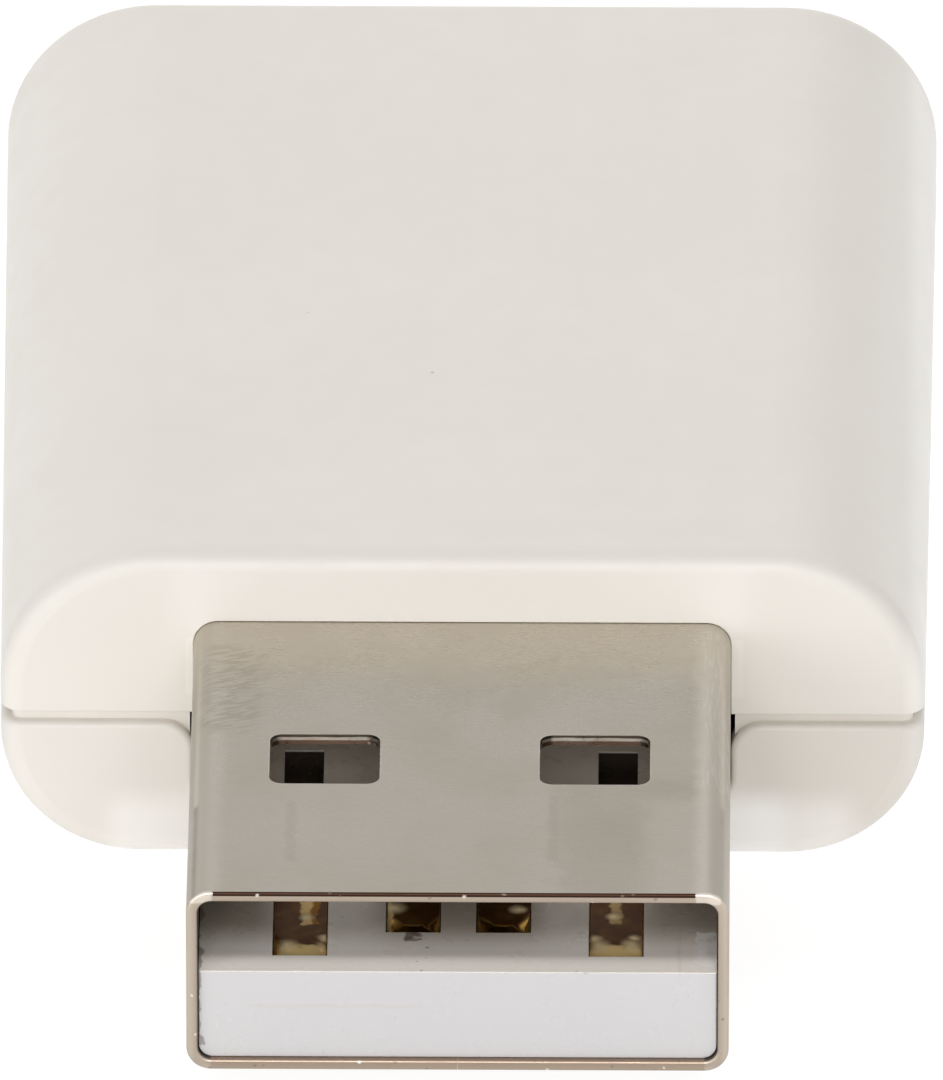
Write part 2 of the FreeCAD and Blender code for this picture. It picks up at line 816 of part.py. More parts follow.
def can_place():
    """The middle of the shield can, near the board's left side."""
    x = -board_half(y_board_front) + can_from_left + can_width / 2
    return x, board_lines()[1]


def can_inside():
    """The can's inner faces: left, right, front and back."""
    x, y = can_place()
    half_x = can_width / 2 - can_sheet
    half_y = can_length / 2 - can_sheet
    return x - half_x, x + half_x, y - half_y, y + half_y


def supply_line():
    """The row of supply parts across the board behind the contacts' tails."""
    return board_lines()[0]


def network_line():
    """The row of small parts between the shield can and the antenna."""
    return board_lines()[2]


def led_place():
    """The middle of the lamp, near the board's left back corner."""
    x = can_place()[0] - can_width / 2 + led_length
    return FreeCAD.Vector(x, network_line(), z_board + led_height + part_gap)


def shield_can():
    """The drawn steel can over the radio, open below, with a row of holes in its top."""
    x, y = can_place()
    outer = rounded(on_board(x, y, can_width, can_length, can_height), can_corner, Z_AXIS)
    inner = rounded(on_board(x, y, can_width - 2 * can_sheet, can_length - 2 * can_sheet,
                             can_height - can_sheet), can_corner - can_sheet, Z_AXIS)
    can = outer.cut(inner)
    for i in (-1.5, -0.5, 0.5, 1.5):
        for j in (-1, 1):
            place = FreeCAD.Vector(x + i * can_hole_pitch, y + j * can_hole_pitch, z_board)
            can = can.cut(rod(can_hole_diameter, place, place + Z_AXIS * 2 * can_height))
    return can


def can_columns():
    """Three places across the can: the radio, its capacitors, and the memory with the crystal."""
    left, right = can_inside()[:2]
    return spread(left, right, (radio_size, chip_part_width, memory_width))


def side_lines():
    """Where the memory and the crystal lie along the can."""
    front, back = can_inside()[2:]
    return spread(front, back, (memory_length, crystal_length))


def radio_chip():
    """The radio processor."""
    return package(can_columns()[0], can_place()[1], radio_size, radio_size, radio_height)


def memory_chip():
    """The memory beside the radio processor."""
    return package(can_columns()[2], side_lines()[0], memory_width, memory_length, memory_height)


def crystal():
    """The metal-lidded crystal that clocks the radio."""
    x = can_columns()[2]
    y = side_lines()[1]
    base = on_board(x, y, crystal_width, crystal_length, crystal_base)
    lid = on_board(x, y, crystal_width - 2 * crystal_rim, crystal_length - 2 * crystal_rim, crystal_height)
    return base.fuse(rounded(lid, crystal_rim, Z_AXIS)).removeSplitter()


def voltage_regulator():
    """The regulator: a moulded body on bent leads, three on one side and two on the other."""
    x = supply_places()[0]
    y = supply_line()
    core = on_board(x, y, regulator_width, regulator_length, regulator_height)
    core = core.cut(on_board(x, y, regulator_width, regulator_length, regulator_stand))
    top = [e for e in core.Edges if e.BoundBox.ZMin > z_board + regulator_height - 1e-4]
    core = core.makeChamfer(package_edge, top)
    foot_z = z_board + regulator_lead / 2
    exit_z = z_board + regulator_height / 2
    for side, rows in ((-1, (-1, 0, 1)), (1, (-1, 1))):
        knee = x + side * (regulator_span / 2 - regulator_foot)
        for row in rows:
            y0 = y + row * regulator_lead_pitch - regulator_lead_width / 2
            path = [
                FreeCAD.Vector(x + side * (regulator_width / 2 - regulator_foot), y0, exit_z),
                FreeCAD.Vector(knee, y0, exit_z),
                FreeCAD.Vector(knee, y0, foot_z),
                FreeCAD.Vector(x + side * regulator_span / 2, y0, foot_z),
            ]
            bends = [regulator_bend, regulator_bend]
            core = core.fuse(ribbon(path, bends, regulator_lead).extrude(Y_AXIS * regulator_lead_width))
    return core.removeSplitter()


def supply_places():
    """The supply row's places along the can's front: regulator, ferrite, two capacitors and the diode."""
    left = can_place()[0] - can_width / 2
    widths = (regulator_span, ferrite_width, supply_cap_width, supply_cap_width, diode_width)
    return spread(left, left + can_width, widths)


def supply_ferrite():
    """The ferrite bead in the supply line."""
    return chip_part(supply_places()[1], supply_line(), ferrite_width, ferrite_length, ferrite_height)


def supply_capacitors():
    """The two large capacitors on each side of the regulator's circuit."""
    return Part.makeCompound([
        chip_part(x, supply_line(), supply_cap_width, supply_cap_length, supply_cap_height)
        for x in supply_places()[2:4]
    ])


def protection_diode():
    """The diode that guards the supply against surges, with a flat terminal at each end."""
    x = supply_places()[4]
    y = supply_line()
    core = package(x, y, diode_width, diode_length, diode_height)
    ends = on_board(x, y, diode_terminal_width, diode_length + 2 * diode_terminal, diode_terminal_sheet)
    return core.fuse(ends).removeSplitter()


def bypass_capacitors():
    """Small capacitors between the radio chip and the parts beside it, in the can."""
    x = can_columns()[1]
    front, back = can_inside()[2:]
    lines = spread(front, back, 3 * (chip_part_length,))
    return Part.makeCompound([
        chip_part(x, y, chip_part_width, chip_part_length, capacitor_height) for y in lines
    ])


def matching_inductors():
    """Two coils and their line from the radio to the antenna."""
    y = network_line()
    step = chip_part_width + part_gap
    return Part.makeCompound([
        chip_part(k * step, y, chip_part_width, chip_part_length, inductor_height) for k in (0, 1)
    ])


def resistors():
    """Resistors for the lamp, the switch and the data lines."""
    y = network_line()
    step = chip_part_width + part_gap
    lamp_x = led_place().x + led_length / 2 + part_gap
    places = [(lamp_x, y), (2 * step, y), (3 * step, y)]
    return Part.makeCompound([
        chip_part(x, row, chip_part_width, chip_part_length, resistor_height) for x, row in places
    ])


def chip_antenna():
    """The ceramic antenna at the board's back edge."""
    return package(0, y_board_back - antenna_back, antenna_width, antenna_length, antenna_height)


def status_led():
    """The lamp that shines through the thin spot of the upper shell."""
    place = led_place()
    base = on_board(place.x, place.y, led_length, led_width, led_base)
    lens = on_board(place.x, place.y, led_lens, led_width, led_height)
    top = [e for e in lens.Edges if e.BoundBox.ZMin > z_board + led_height - 1e-4]
    return base.fuse(lens.makeFillet(led_edge, top)).removeSplitter()


NODES = {
    "upper_shell": upper_shell,
    "lower_shell": lower_shell,
    "usb_shell": usb_shell,
    "usb_insulator": usb_insulator,
    "circuit_board": circuit_board,
    "switch_base": switch_base,
    "switch_cover": switch_cover,
    "switch_dome": switch_dome,
    "switch_terminals": switch_terminals,
    "reset_plunger": reset_plunger,
    "shield_can": shield_can,
    "radio_chip": radio_chip,
    "memory_chip": memory_chip,
    "crystal": crystal,
    "voltage_regulator": voltage_regulator,
    "supply_ferrite": supply_ferrite,
    "supply_capacitors": supply_capacitors,
    "protection_diode": protection_diode,
    "bypass_capacitors": bypass_capacitors,
    "matching_inductors": matching_inductors,
    "resistors": resistors,
    "chip_antenna": chip_antenna,
    "status_led": status_led,
}


def main():
    """Writes every piece as a file of its own."""
    os.makedirs("parts", exist_ok=True)
    shapes = {name: make() for name, make in NODES.items()}
    for name, (x, slot_start) in CONTACTS.items():
        shapes[name] = contact(x, slot_start)
    for name, shape in shapes.items():
        shape.exportStep(f"parts/{name}.step")
        print(name, len(shape.Solids), round(shape.Volume, 3), shape.isValid())


main()
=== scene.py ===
"""The looks of a white plug-in signal repeater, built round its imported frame."""

import logging
import math
from collections.abc import Callable
from dataclasses import dataclass, field, replace
from enum import Enum

import bpy
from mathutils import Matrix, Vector


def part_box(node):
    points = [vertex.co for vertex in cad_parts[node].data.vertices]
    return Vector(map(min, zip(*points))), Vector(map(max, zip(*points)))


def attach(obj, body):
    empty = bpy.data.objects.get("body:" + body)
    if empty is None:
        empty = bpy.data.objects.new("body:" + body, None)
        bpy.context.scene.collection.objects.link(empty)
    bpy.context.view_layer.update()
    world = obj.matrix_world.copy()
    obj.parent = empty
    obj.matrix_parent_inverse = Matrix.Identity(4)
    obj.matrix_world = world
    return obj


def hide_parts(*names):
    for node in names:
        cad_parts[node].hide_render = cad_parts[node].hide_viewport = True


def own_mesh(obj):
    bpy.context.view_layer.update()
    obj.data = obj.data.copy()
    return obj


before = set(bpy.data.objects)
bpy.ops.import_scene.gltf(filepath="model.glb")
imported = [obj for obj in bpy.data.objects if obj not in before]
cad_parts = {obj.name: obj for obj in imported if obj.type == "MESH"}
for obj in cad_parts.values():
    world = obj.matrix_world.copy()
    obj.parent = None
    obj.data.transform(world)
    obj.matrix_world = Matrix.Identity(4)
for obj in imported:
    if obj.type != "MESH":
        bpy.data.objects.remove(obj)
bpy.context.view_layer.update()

MM = 0.001  # a millimetre in the scene's metres
SLACK = 0.01  # how far beyond a face's place a test still takes it, in millimetres
WELD = 1e-7  # points nearer than this are one, in metres
FACING = 0.9  # a face looks along an axis where its normal has at least this share of it
SHARP = math.radians(30)  # an edge that turns by more is rounded
SMOOTH = math.radians(40)  # an edge that turns by less is shaded smoothly
BODY = "repeater"
log = logging.getLogger("repeater")

Rgb = tuple[float, float, float]
Place = tuple[float, float, float]
Wire = bpy.types.NodeSocket


def shown(red: int, green: int, blue: int) -> Rgb:
    """Turns a screen's colour into the linear one that a shader takes, by the sRGB formula.

    Args:
        red: Red from 0 to 255.
        green: Green from 0 to 255.
        blue: Blue from 0 to 255.

    Returns:
        The linear colour.
    """
    def linear(value: int) -> float:
        """One channel's linear value."""
        share = value / 255
        return share / 12.92 if share <= 0.04045 else ((share + 0.055) / 1.055) ** 2.4

    return linear(red), linear(green), linear(blue)


# Node trees

class Wiring:
    """Adds nodes to a node tree, joins their sockets and feeds its end node, such as the shader."""

    def __init__(self, tree: bpy.types.NodeTree, end: str) -> None:
        """Takes the tree that is to be filled and adds its end node, of the kind that is named."""
        self.tree = tree
        self.end = tree.nodes.new(end)

    def add(self, kind: str, inputs: dict | None = None, **settings: object) -> bpy.types.Node:
        """Adds a node.

        Args:
            kind: Blender's name for the kind of node.
            inputs: A value or a socket for each named or numbered input.
            **settings: The node's own properties.

        Returns:
            The new node.
        """
        node = self.tree.nodes.new(kind)
        for name, value in settings.items():
            setattr(node, name, value)
        for name, value in (inputs or {}).items():
            self.feed(node, name, value)
        return node

    def feed(self, node: bpy.types.Node, name: str | int, value: object) -> None:
        """Gives an input a socket to read from, or a fixed value.

        Args:
            node: The node that has the input.
            name: The input's name or number.
            value: The socket or the value.
        """
        target = node.inputs[name]
        if isinstance(value, Wire):
            self.tree.links.new(value, target)
        elif target.type == "RGBA" and len(value) == 3:
            target.default_value = (*value, 1)
        else:
            target.default_value = value

    def give(self, name: str, value: object) -> None:
        """Feeds an input of the end node."""
        self.feed(self.end, name, value)

    def so_far(self, name: str) -> Wire:
        """The socket that an input of the end node reads until now."""
        return self.end.inputs[name].links[0].from_socket

    def relief(self, height: Wire, reach: float) -> None:
        """Bends the shader's normal by a height, which stands for reach millimetres where it is one."""
        inputs = {"Height": height, "Distance": reach * MM, "Strength": 1.0}
        self.give("Normal", self.add("ShaderNodeBump", inputs).outputs[0])

    def math(self, operation: str, first: object, second: object = 0.0) -> Wire:
        """Works out one or two numbers and returns the result."""
        return self.add("ShaderNodeMath", {0: first, 1: second}, operation=operation).outputs[0]

    def times(self, *values: object) -> Wire:
        """Multiplies numbers.

        Args:
            *values: The numbers or sockets, two or more.

        Returns:
            Their product.
        """
        product, *others = values
        for other in others:
            product = self.math("MULTIPLY", product, other)
        return product

    def ramp(self, value: Wire, low: object, high: object, start: object = 0.0, end: object = 1.0) -> Wire:
        """Maps a value smoothly from one range to another.

        Args:
            value: The number to map.
            low: Where the range begins.
            high: Where the range ends.
            start: What low becomes.
            end: What high becomes.

        Returns:
            The mapped number.
        """
        inputs = {"Value": value, "From Min": low, "From Max": high, "To Min": start, "To Max": end}
        return self.add("ShaderNodeMapRange", inputs, interpolation_type="SMOOTHSTEP").outputs["Result"]

    def spread(self, noise: Wire, start: object = 0.0, end: object = 1.0) -> Wire:
        """Maps a noise, most of which lies near its middle, to a whole range."""
        return self.ramp(noise, 0.3, 0.7, start, end)

    def blend(self, share: object, first: object, second: object) -> Wire:
        """Mixes two colours by a share and returns the mixed colour."""
        return self.add("ShaderNodeMix", {0: share, 6: first, 7: second}, data_type="RGBA").outputs[2]

    def place(self) -> Wire:
        """The point on the surface in millimetres, in the object's own frame."""
        point = self.add("ShaderNodeTexCoord").outputs["Object"]
        return self.add("ShaderNodeVectorMath", {0: point, 3: 1 / MM}, operation="SCALE").outputs[0]

    def axes(self, point: Wire) -> list[Wire]:
        """Splits a point or a normal into its three parts."""
        return list(self.add("ShaderNodeSeparateXYZ", {0: point}).outputs)

    def up(self) -> Wire:
        """How far the surface faces upwards, from minus one to one."""
        return self.axes(self.add("ShaderNodeTexCoord").outputs["Normal"])[2]

    def stretched(self, point: Wire, size: Place) -> Wire:
        """Divides a point by a size in millimetres along each axis."""
        inputs = {0: point, 1: [1 / length for length in size]}
        return self.add("ShaderNodeVectorMath", inputs, operation="MULTIPLY").outputs[0]

    def noise(self, point: Wire, scale: object = 1.0, detail: float = 2.0, rough: float = 0.5) -> Wire:
        """Adds a soft noise and returns its value."""
        inputs = {"Vector": point, "Scale": scale, "Detail": detail, "Roughness": rough}
        return self.add("ShaderNodeTexNoise", inputs).outputs[0]

    def effect(self, effect: "Effect", **inputs: object) -> Wire:
        """Places a shared effect, with a value or a socket for each input, and returns its output."""
        return self.add("ShaderNodeGroup", inputs, node_tree=effect.tree()).outputs[0]


def fresh_wiring(owner: bpy.types.Material | bpy.types.World, end: str) -> Wiring:
    """Empties the node tree of a material or world.

    Args:
        owner: The material or world.
        end: The kind of node that its wiring feeds.

    Returns:
        The wiring of its tree.
    """
    owner.use_nodes = True
    owner.node_tree.nodes.clear()
    return Wiring(owner.node_tree, end)


SOCKETS = {1: "NodeSocketFloat", 3: "NodeSocketVector", 4: "NodeSocketColor"}


class Effect(Enum):
    """The surface effects that several finishes share, each one node group."""

    GRAIN = "fine_grain"
    CLOUDS = "colour_clouds"
    SPECKS = "stray_specks"
    SCRATCHES = "hair_scratches"
    WEAR = "worn_edges"
    SPOT = "single_spot"
    ZONE = "soft_zone"

    def tree(self) -> bpy.types.NodeTree:
        """Finds the effect's node group, and builds it the first time.

        Returns:
            The group.
        """
        if self.value not in bpy.data.node_groups:
            BUILDERS[self]()
        return bpy.data.node_groups[self.value]

    def start(self, output: str, **inputs: object) -> tuple[Wiring, *tuple[Wire, ...]]:
        """Opens the effect's group.

        Args:
            output: The name of its one output, which is a colour if it is called so and else a number.
            **inputs: Each input's default: a number, a place of three numbers or a colour of four.

        Returns:
            The wiring, and each input's socket.
        """
        tree = bpy.data.node_groups.new(self.value, "ShaderNodeTree")
        for name, value in inputs.items():
            kind = SOCKETS[len(value) if isinstance(value, tuple) else 1]
            tree.interface.new_socket(name, in_out="INPUT", socket_type=kind).default_value = value
        kind = SOCKETS[4 if output == "Colour" else 1]
        tree.interface.new_socket(output, in_out="OUTPUT", socket_type=kind)
        w = Wiring(tree, "NodeGroupOutput")
        entry = w.add("NodeGroupInput")
        return w, *(entry.outputs[name] for name in inputs)


def fine_grain() -> None:
    """Makes a fine even relief, as a spark-eroded mould or rolled sheet leaves it."""
    w, size, depth = Effect.GRAIN.start("Height", Size=0.1, Depth=1.0)
    value = w.noise(w.place(), w.math("DIVIDE", 1.0, size), detail=3.0, rough=0.6)
    w.give("Height", w.times(w.math("SUBTRACT", value, 0.5), depth))


def colour_clouds() -> None:
    """Makes a colour that drifts softly towards another in wide clouds."""
    w, colour, drift, size, share = Effect.CLOUDS.start(
        "Colour", Colour=(1, 1, 1, 1), Drift=(1, 1, 1, 1), Size=4.0, Share=0.5)
    value = w.noise(w.place(), w.math("DIVIDE", 1.0, size))
    w.give("Colour", w.blend(w.times(w.spread(value), share), colour, drift))


def stray_specks() -> None:
    """Makes small uneven specks, scattered over a surface."""
    w, spacing, radius, share = Effect.SPECKS.start("Mask", Spacing=1.0, Radius=0.05, Share=0.3)
    point = w.place()
    inputs = {"Vector": point, "Scale": w.math("DIVIDE", 1.0, spacing)}
    cells = w.add("ShaderNodeTexVoronoi", inputs).outputs
    distance = w.times(cells["Distance"], spacing)
    uneven = w.noise(point, w.math("DIVIDE", 1.0, radius), detail=1.0)
    reach = w.times(radius, w.math("ADD", uneven, 0.5))
    draw = w.add("ShaderNodeSeparateColor", {0: cells["Color"]}).outputs[0]
    near = w.ramp(distance, reach, w.times(reach, 0.6))
    w.give("Mask", w.times(near, w.math("LESS_THAN", draw, share)))


def hair_scratches() -> None:
    """Makes thin broken scratches that lie roughly along one line."""
    w, length, width, turn, share = Effect.SCRATCHES.start(
        "Mask", Length=2.0, Width=0.03, Turn=0.0, Share=0.3)
    inputs = {"Vector": w.place(), "Axis": (0, 0, 1), "Angle": turn}
    turned = w.add("ShaderNodeVectorRotate", inputs, rotation_type="AXIS_ANGLE").outputs[0]
    bend = w.times(w.noise(turned, scale=0.3, detail=1.0), w.times(width, 8.0))
    x, y, z = w.axes(turned)
    along = w.math("DIVIDE", x, length)
    across = w.math("DIVIDE", w.math("ADD", y, bend), width)
    point = w.add("ShaderNodeCombineXYZ", {0: along, 1: across, 2: w.math("DIVIDE", z, 0.2)})
    value = w.noise(point.outputs[0], detail=1.0)
    edge = w.math("SUBTRACT", 0.85, w.times(share, 0.4))
    w.give("Mask", w.ramp(value, edge, w.math("ADD", edge, 0.06)))


def worn_edges() -> None:
    """Makes a broken band along the surface's edges."""
    w, radius, breakup = Effect.WEAR.start("Mask", Radius=0.1, Breakup=0.5)
    soft = w.add("ShaderNodeBevel", {"Radius": w.times(radius, MM)}, samples=2).outputs[0]
    normal = w.add("ShaderNodeNewGeometry").outputs["Normal"]
    match = w.add("ShaderNodeVectorMath", {0: soft, 1: normal}, operation="DOT_PRODUCT").outputs["Value"]
    value = w.noise(w.place(), w.math("DIVIDE", 1.0, breakup), detail=3.0)
    edge = w.ramp(match, low=0.995, high=0.9)
    w.give("Mask", w.times(edge, w.ramp(value, low=0.35, high=0.6)))


def single_spot() -> None:
    """Makes one soft round spot at a place."""
    w, centre, radius, softness = Effect.SPOT.start("Mask", Centre=(0, 0, 0), Radius=0.1, Softness=0.5)
    inputs = {0: w.place(), 1: centre}
    distance = w.add("ShaderNodeVectorMath", inputs, operation="DISTANCE").outputs["Value"]
    core = w.times(radius, w.math("SUBTRACT", 1.0, softness))
    w.give("Mask", w.ramp(distance, radius, core))


def soft_zone() -> None:
    """Makes a block of space with soft sides, between two corners in millimetres."""
    w, low, high, softness, wobble = Effect.ZONE.start(
        "Mask", Low=(0, 0, 0), High=(1, 1, 1), Softness=0.1, Wobble=0.0)
    point = w.place()
    shift = w.times(w.math("SUBTRACT", w.noise(point, scale=2.0, detail=3.0), 0.5), wobble)
    mask = 1.0
    for part, first, last in zip(w.axes(point), w.axes(low), w.axes(high)):
        value = w.math("ADD", part, shift)
        above = w.ramp(value, w.math("SUBTRACT", first, softness), first)
        below = w.ramp(value, w.math("ADD", last, softness), last)
        mask = w.times(mask, above, below)
    w.give("Mask", mask)


BUILDERS: dict[Effect, Callable[[], None]] = {
    Effect.GRAIN: fine_grain,
    Effect.CLOUDS: colour_clouds,
    Effect.SPECKS: stray_specks,
    Effect.SCRATCHES: hair_scratches,
    Effect.WEAR: worn_edges,
    Effect.SPOT: single_spot,
    Effect.ZONE: soft_zone,
}


# Finishes

@dataclass(frozen=True)
class Finish:
    """A surface finish: its name, its main colour and how rough it is. All lengths are in millimetres."""

    name: str
    colour: Rgb
    roughness: float = 0.4

    def material(self) -> bpy.types.Material:
        """Finds the finish's material, and builds it the first time.

        Returns:
            The material.
        """
        found = bpy.data.materials.get(self.name)
        if found:
            return found
        material = bpy.data.materials.new(self.name)
        w = fresh_wiring(material, "ShaderNodeBsdfPrincipled")
        w.add("ShaderNodeOutputMaterial", {"Surface": w.end.outputs[0]})
        self.wire(w)
        return material

    def wire(self, w: Wiring) -> None:
        """Feeds the shader. Each kind of finish has its own way."""
        raise NotImplementedError

    def uneven_gloss(self, w: Wiring, scale: float, detail: float, change: float) -> None:
        """Lets the roughness vary softly over the surface.

        Args:
            w: The material's wiring.
            scale: How many patches there are to a millimetre.
            detail: How finely the patches break up.
            change: The share by which the roughness goes up and down.
        """
        gloss = w.noise(w.place(), scale, detail)
        low, high = self.roughness * (1 - change), self.roughness * (1 + change)
        w.give("Roughness", w.spread(gloss, low, high))


@dataclass(frozen=True)
class Zone:
    """A part of a surface that differs in colour, by a mark of its own or by painted light or shade: a
    block of space with soft sides, in millimetres.
    """

    low: Place
    high: Place
    colour: Rgb
    share: float = 1.0
    softness: float = 0.1
    wobble: float = 0.0

    def mask(self, w: Wiring) -> Wire:
        """Where the zone is, as a share of one."""
        mask = w.effect(Effect.ZONE, Low=self.low, High=self.high, Softness=self.softness,
                        Wobble=self.wobble)
        return w.times(mask, self.share)

    def over(self, w: Wiring, tint: object) -> Wire:
        """Lays the zone's colour over another and returns the mixed colour."""
        return w.blend(self.mask(w), tint, self.colour)


@dataclass(frozen=True)
class Marks(Zone):
    """A zone that is filled with marks of one kind."""

    effect: Effect = Effect.SCRATCHES
    values: dict[str, float] = field(default_factory=dict)

    def mask(self, w: Wiring) -> Wire:
        """Where the marks are, as a share of one."""
        return w.times(super().mask(w), w.effect(self.effect, **self.values))


@dataclass(frozen=True)
class MouldedPlastic(Finish):
    """Moulded plastic: soft colour clouds, fine grain, specks, spots of dirt, zones of painted light and
    shade or of marks, and a rounded front edge.
    """

    drift: Rgb = (0.7, 0.65, 0.6)
    cloud_size: float = 6.0
    cloud_share: float = 0.5
    grain_size: float = 0.12
    grain_depth: float = 0.002
    speck_colour: Rgb = (0.35, 0.32, 0.28)
    speck_spacing: float = 2.2
    speck_radius: float = 0.035
    speck_share: float = 0.25
    dirt_share: float = 0.7
    spots: tuple[tuple[Place, float, float], ...] = ()
    spot_softness: float = 0.6
    zones: tuple[Zone, ...] = ()
    front_edge: float = 0.0
    front_rounding: float = 0.0
    front_slope: float = 0.45

    def wire(self, w: Wiring) -> None:
        """Feeds the shader with the plastic's colour, gloss and grain.

        Args:
            w: The material's wiring.
        """
        tint = w.effect(Effect.CLOUDS, Colour=self.colour, Drift=self.drift, Size=self.cloud_size,
                        Share=self.cloud_share)
        dirt = w.effect(Effect.SPECKS, Spacing=self.speck_spacing, Radius=self.speck_radius,
                        Share=self.speck_share)
        for centre, radius, strength in self.spots:
            spot = w.effect(Effect.SPOT, Centre=centre, Radius=radius, Softness=self.spot_softness)
            dirt = w.math("MAXIMUM", dirt, w.times(spot, strength))
        for zone in self.zones:
            tint = zone.over(w, tint)
        w.give("Base Color", w.blend(w.times(dirt, self.dirt_share), tint, self.speck_colour))
        self.uneven_gloss(w, scale=1.3, detail=3.0, change=0.15)
        height = w.effect(Effect.GRAIN, Size=self.grain_size, Depth=self.grain_depth)
        if self.front_rounding:
            back = w.axes(w.place())[1]
            near = w.ramp(back, self.front_edge, self.front_edge + self.front_rounding, start=1.0, end=0.0)
            fall = w.times(near, near, self.front_slope * self.front_rounding)
            height = w.math("SUBTRACT", height, fall)
        w.relief(height, 1.0)


@dataclass(frozen=True)
class PlatedSteel(Finish):
    """Nickel-plated rolled steel: brushed grain, cloudy tarnish, scratches and bright worn edges."""

    tarnish: Rgb = (0.4, 0.35, 0.28)
    tarnish_size: float = 3.0
    tarnish_share: float = 0.5
    brush: Place = (0.4, 0.07, 0.2)
    brush_depth: float = 0.0015
    gloss_range: tuple[float, float] = (0.75, 1.3)
    scratch_turn: float = 0.2
    scratch_share: float = 0.3
    scratch_light: float = 0.12
    scratch_depth: float = 0.8
    wear_light: float = 0.4
    bare: Rgb = (0.85, 0.83, 0.8)

    def wire(self, w: Wiring) -> None:
        """Feeds the shader with the steel's colour, gloss and brushed relief.

        Args:
            w: The material's wiring.
        """
        tint = w.effect(Effect.CLOUDS, Colour=self.colour, Drift=self.tarnish, Size=self.tarnish_size,
                        Share=self.tarnish_share)
        scratch = w.effect(Effect.SCRATCHES, Length=1.2, Width=0.03, Turn=self.scratch_turn,
                           Share=self.scratch_share)
        wear = w.effect(Effect.WEAR, Radius=0.06, Breakup=0.4)
        bright = w.math("MAXIMUM", w.times(scratch, self.scratch_light), w.times(wear, self.wear_light))
        w.give("Base Color", w.blend(bright, tint, self.bare))
        streak = w.noise(w.stretched(w.place(), self.brush))
        patch = w.noise(w.place(), scale=0.7)
        mixed = w.times(w.math("ADD", streak, patch), 0.5)
        low, high = (self.roughness * share for share in self.gloss_range)
        w.give("Roughness", w.spread(mixed, low, high))
        w.give("Metallic", 1.0)
        height = w.math("SUBTRACT", streak, w.times(scratch, self.scratch_depth))
        w.relief(height, self.brush_depth)


@dataclass(frozen=True)
class PlugSteel(PlatedSteel):
    """The plug's steel, with duller sides, its marks of use and zones of painted light, shade and
    reflection.
    """

    zones: tuple[Zone, ...] = ()
    dull_side: float = 5.45
    side_fade: float = 0.2
    side_roughness: float = 0.5

    def wire(self, w: Wiring) -> None:
        """Feeds the shader with the plated steel, its zones and its dull sides.

        Args:
            w: The material's wiring.
        """
        super().wire(w)
        tint = w.so_far("Base Color")
        gloss = w.so_far("Roughness")
        for zone in self.zones:
            tint = zone.over(w, tint)
        w.give("Base Color", tint)
        sideways = w.math("ABSOLUTE", w.axes(w.place())[0])
        side = w.ramp(sideways, self.dull_side, self.dull_side + self.side_fade)
        mixed = w.add("ShaderNodeMix", {"Factor": side, "A": gloss, "B": self.side_roughness})
        w.give("Roughness", mixed.outputs["Result"])


@dataclass(frozen=True)
class Gilding(Finish):
    """Thin gold on a stamped strip, with painted shade on its up-facing flats, lighter worn tracks where it
    is wiped and painted highlights where it is bent.
    """

    drift: Rgb = (0.45, 0.28, 0.08)
    # Painted shade on the up-facing flats: its colour, then its least share, metalness and index.
    flat_shade: Rgb = (0.055, 0.022, 0.007)
    flat_shade_least: float = 0.93
    flat_shade_metal: float = 0.2
    flat_shade_index: float = 1.15
    sheen: Rgb = (0.8, 0.5, 0.28)
    flatness: tuple[float, float] = (0.96, 0.995)
    dulled: float = 0.55
    bright_metal: float = 0.45
    zones: tuple[Zone, ...] = ()
    # Glints are painted highlights: spots in the highlight colour, each raised a little.
    glints: tuple[tuple[Place, float], ...] = ()
    glint_colour: Rgb = (0.95, 0.78, 0.48)
    glint_height: float = 0.05

    def wire(self, w: Wiring) -> None:
        """Feeds the shader with the gold's colour, the painted shade on its flats, its worn tracks and its
        painted highlights.

        Args:
            w: The material's wiring.
        """
        tint = w.effect(Effect.CLOUDS, Colour=self.colour, Drift=self.drift, Size=0.6, Share=0.5)
        # The up-facing flats get a dark brown, barely metallic skin: painted shade for the dark inside of
        # the plug that they mirror.
        patchy = w.ramp(w.noise(w.place(), scale=2.5), low=0.25, high=0.6, start=self.flat_shade_least)
        flat_shade = w.times(w.ramp(w.up(), *self.flatness), patchy)
        tint = w.blend(flat_shade, tint, self.flat_shade)
        bright, raised = 0.0, 0.0
        for zone in self.zones:
            mask = zone.mask(w)
            tint = w.blend(mask, tint, zone.colour)
            bright = w.math("MAXIMUM", bright, mask)
        for centre, radius in self.glints:
            mask = w.effect(Effect.SPOT, Centre=centre, Radius=radius, Softness=1.0)
            tint = w.blend(mask, tint, self.glint_colour)
            bright = w.math("MAXIMUM", bright, mask)
            raised = w.math("MAXIMUM", raised, mask)
        w.give("Base Color", tint)
        gloss = w.ramp(bright, low=0.0, high=1.0, start=self.roughness, end=self.dulled)
        w.give("Roughness", gloss)
        dull = w.times(flat_shade, w.math("SUBTRACT", 1.0, bright))
        metal = w.ramp(dull, low=0.0, high=1.0, start=1.0, end=self.flat_shade_metal)
        w.give("Metallic", w.math("SUBTRACT", metal, w.times(bright, 1 - self.bright_metal)))
        w.give("IOR", self.flat_shade_index)
        w.give("Specular Tint", self.sheen)
        grain = w.effect(Effect.GRAIN, Size=0.08, Depth=0.001)
        w.relief(w.math("ADD", grain, w.times(raised, self.glint_height)), 1.0)


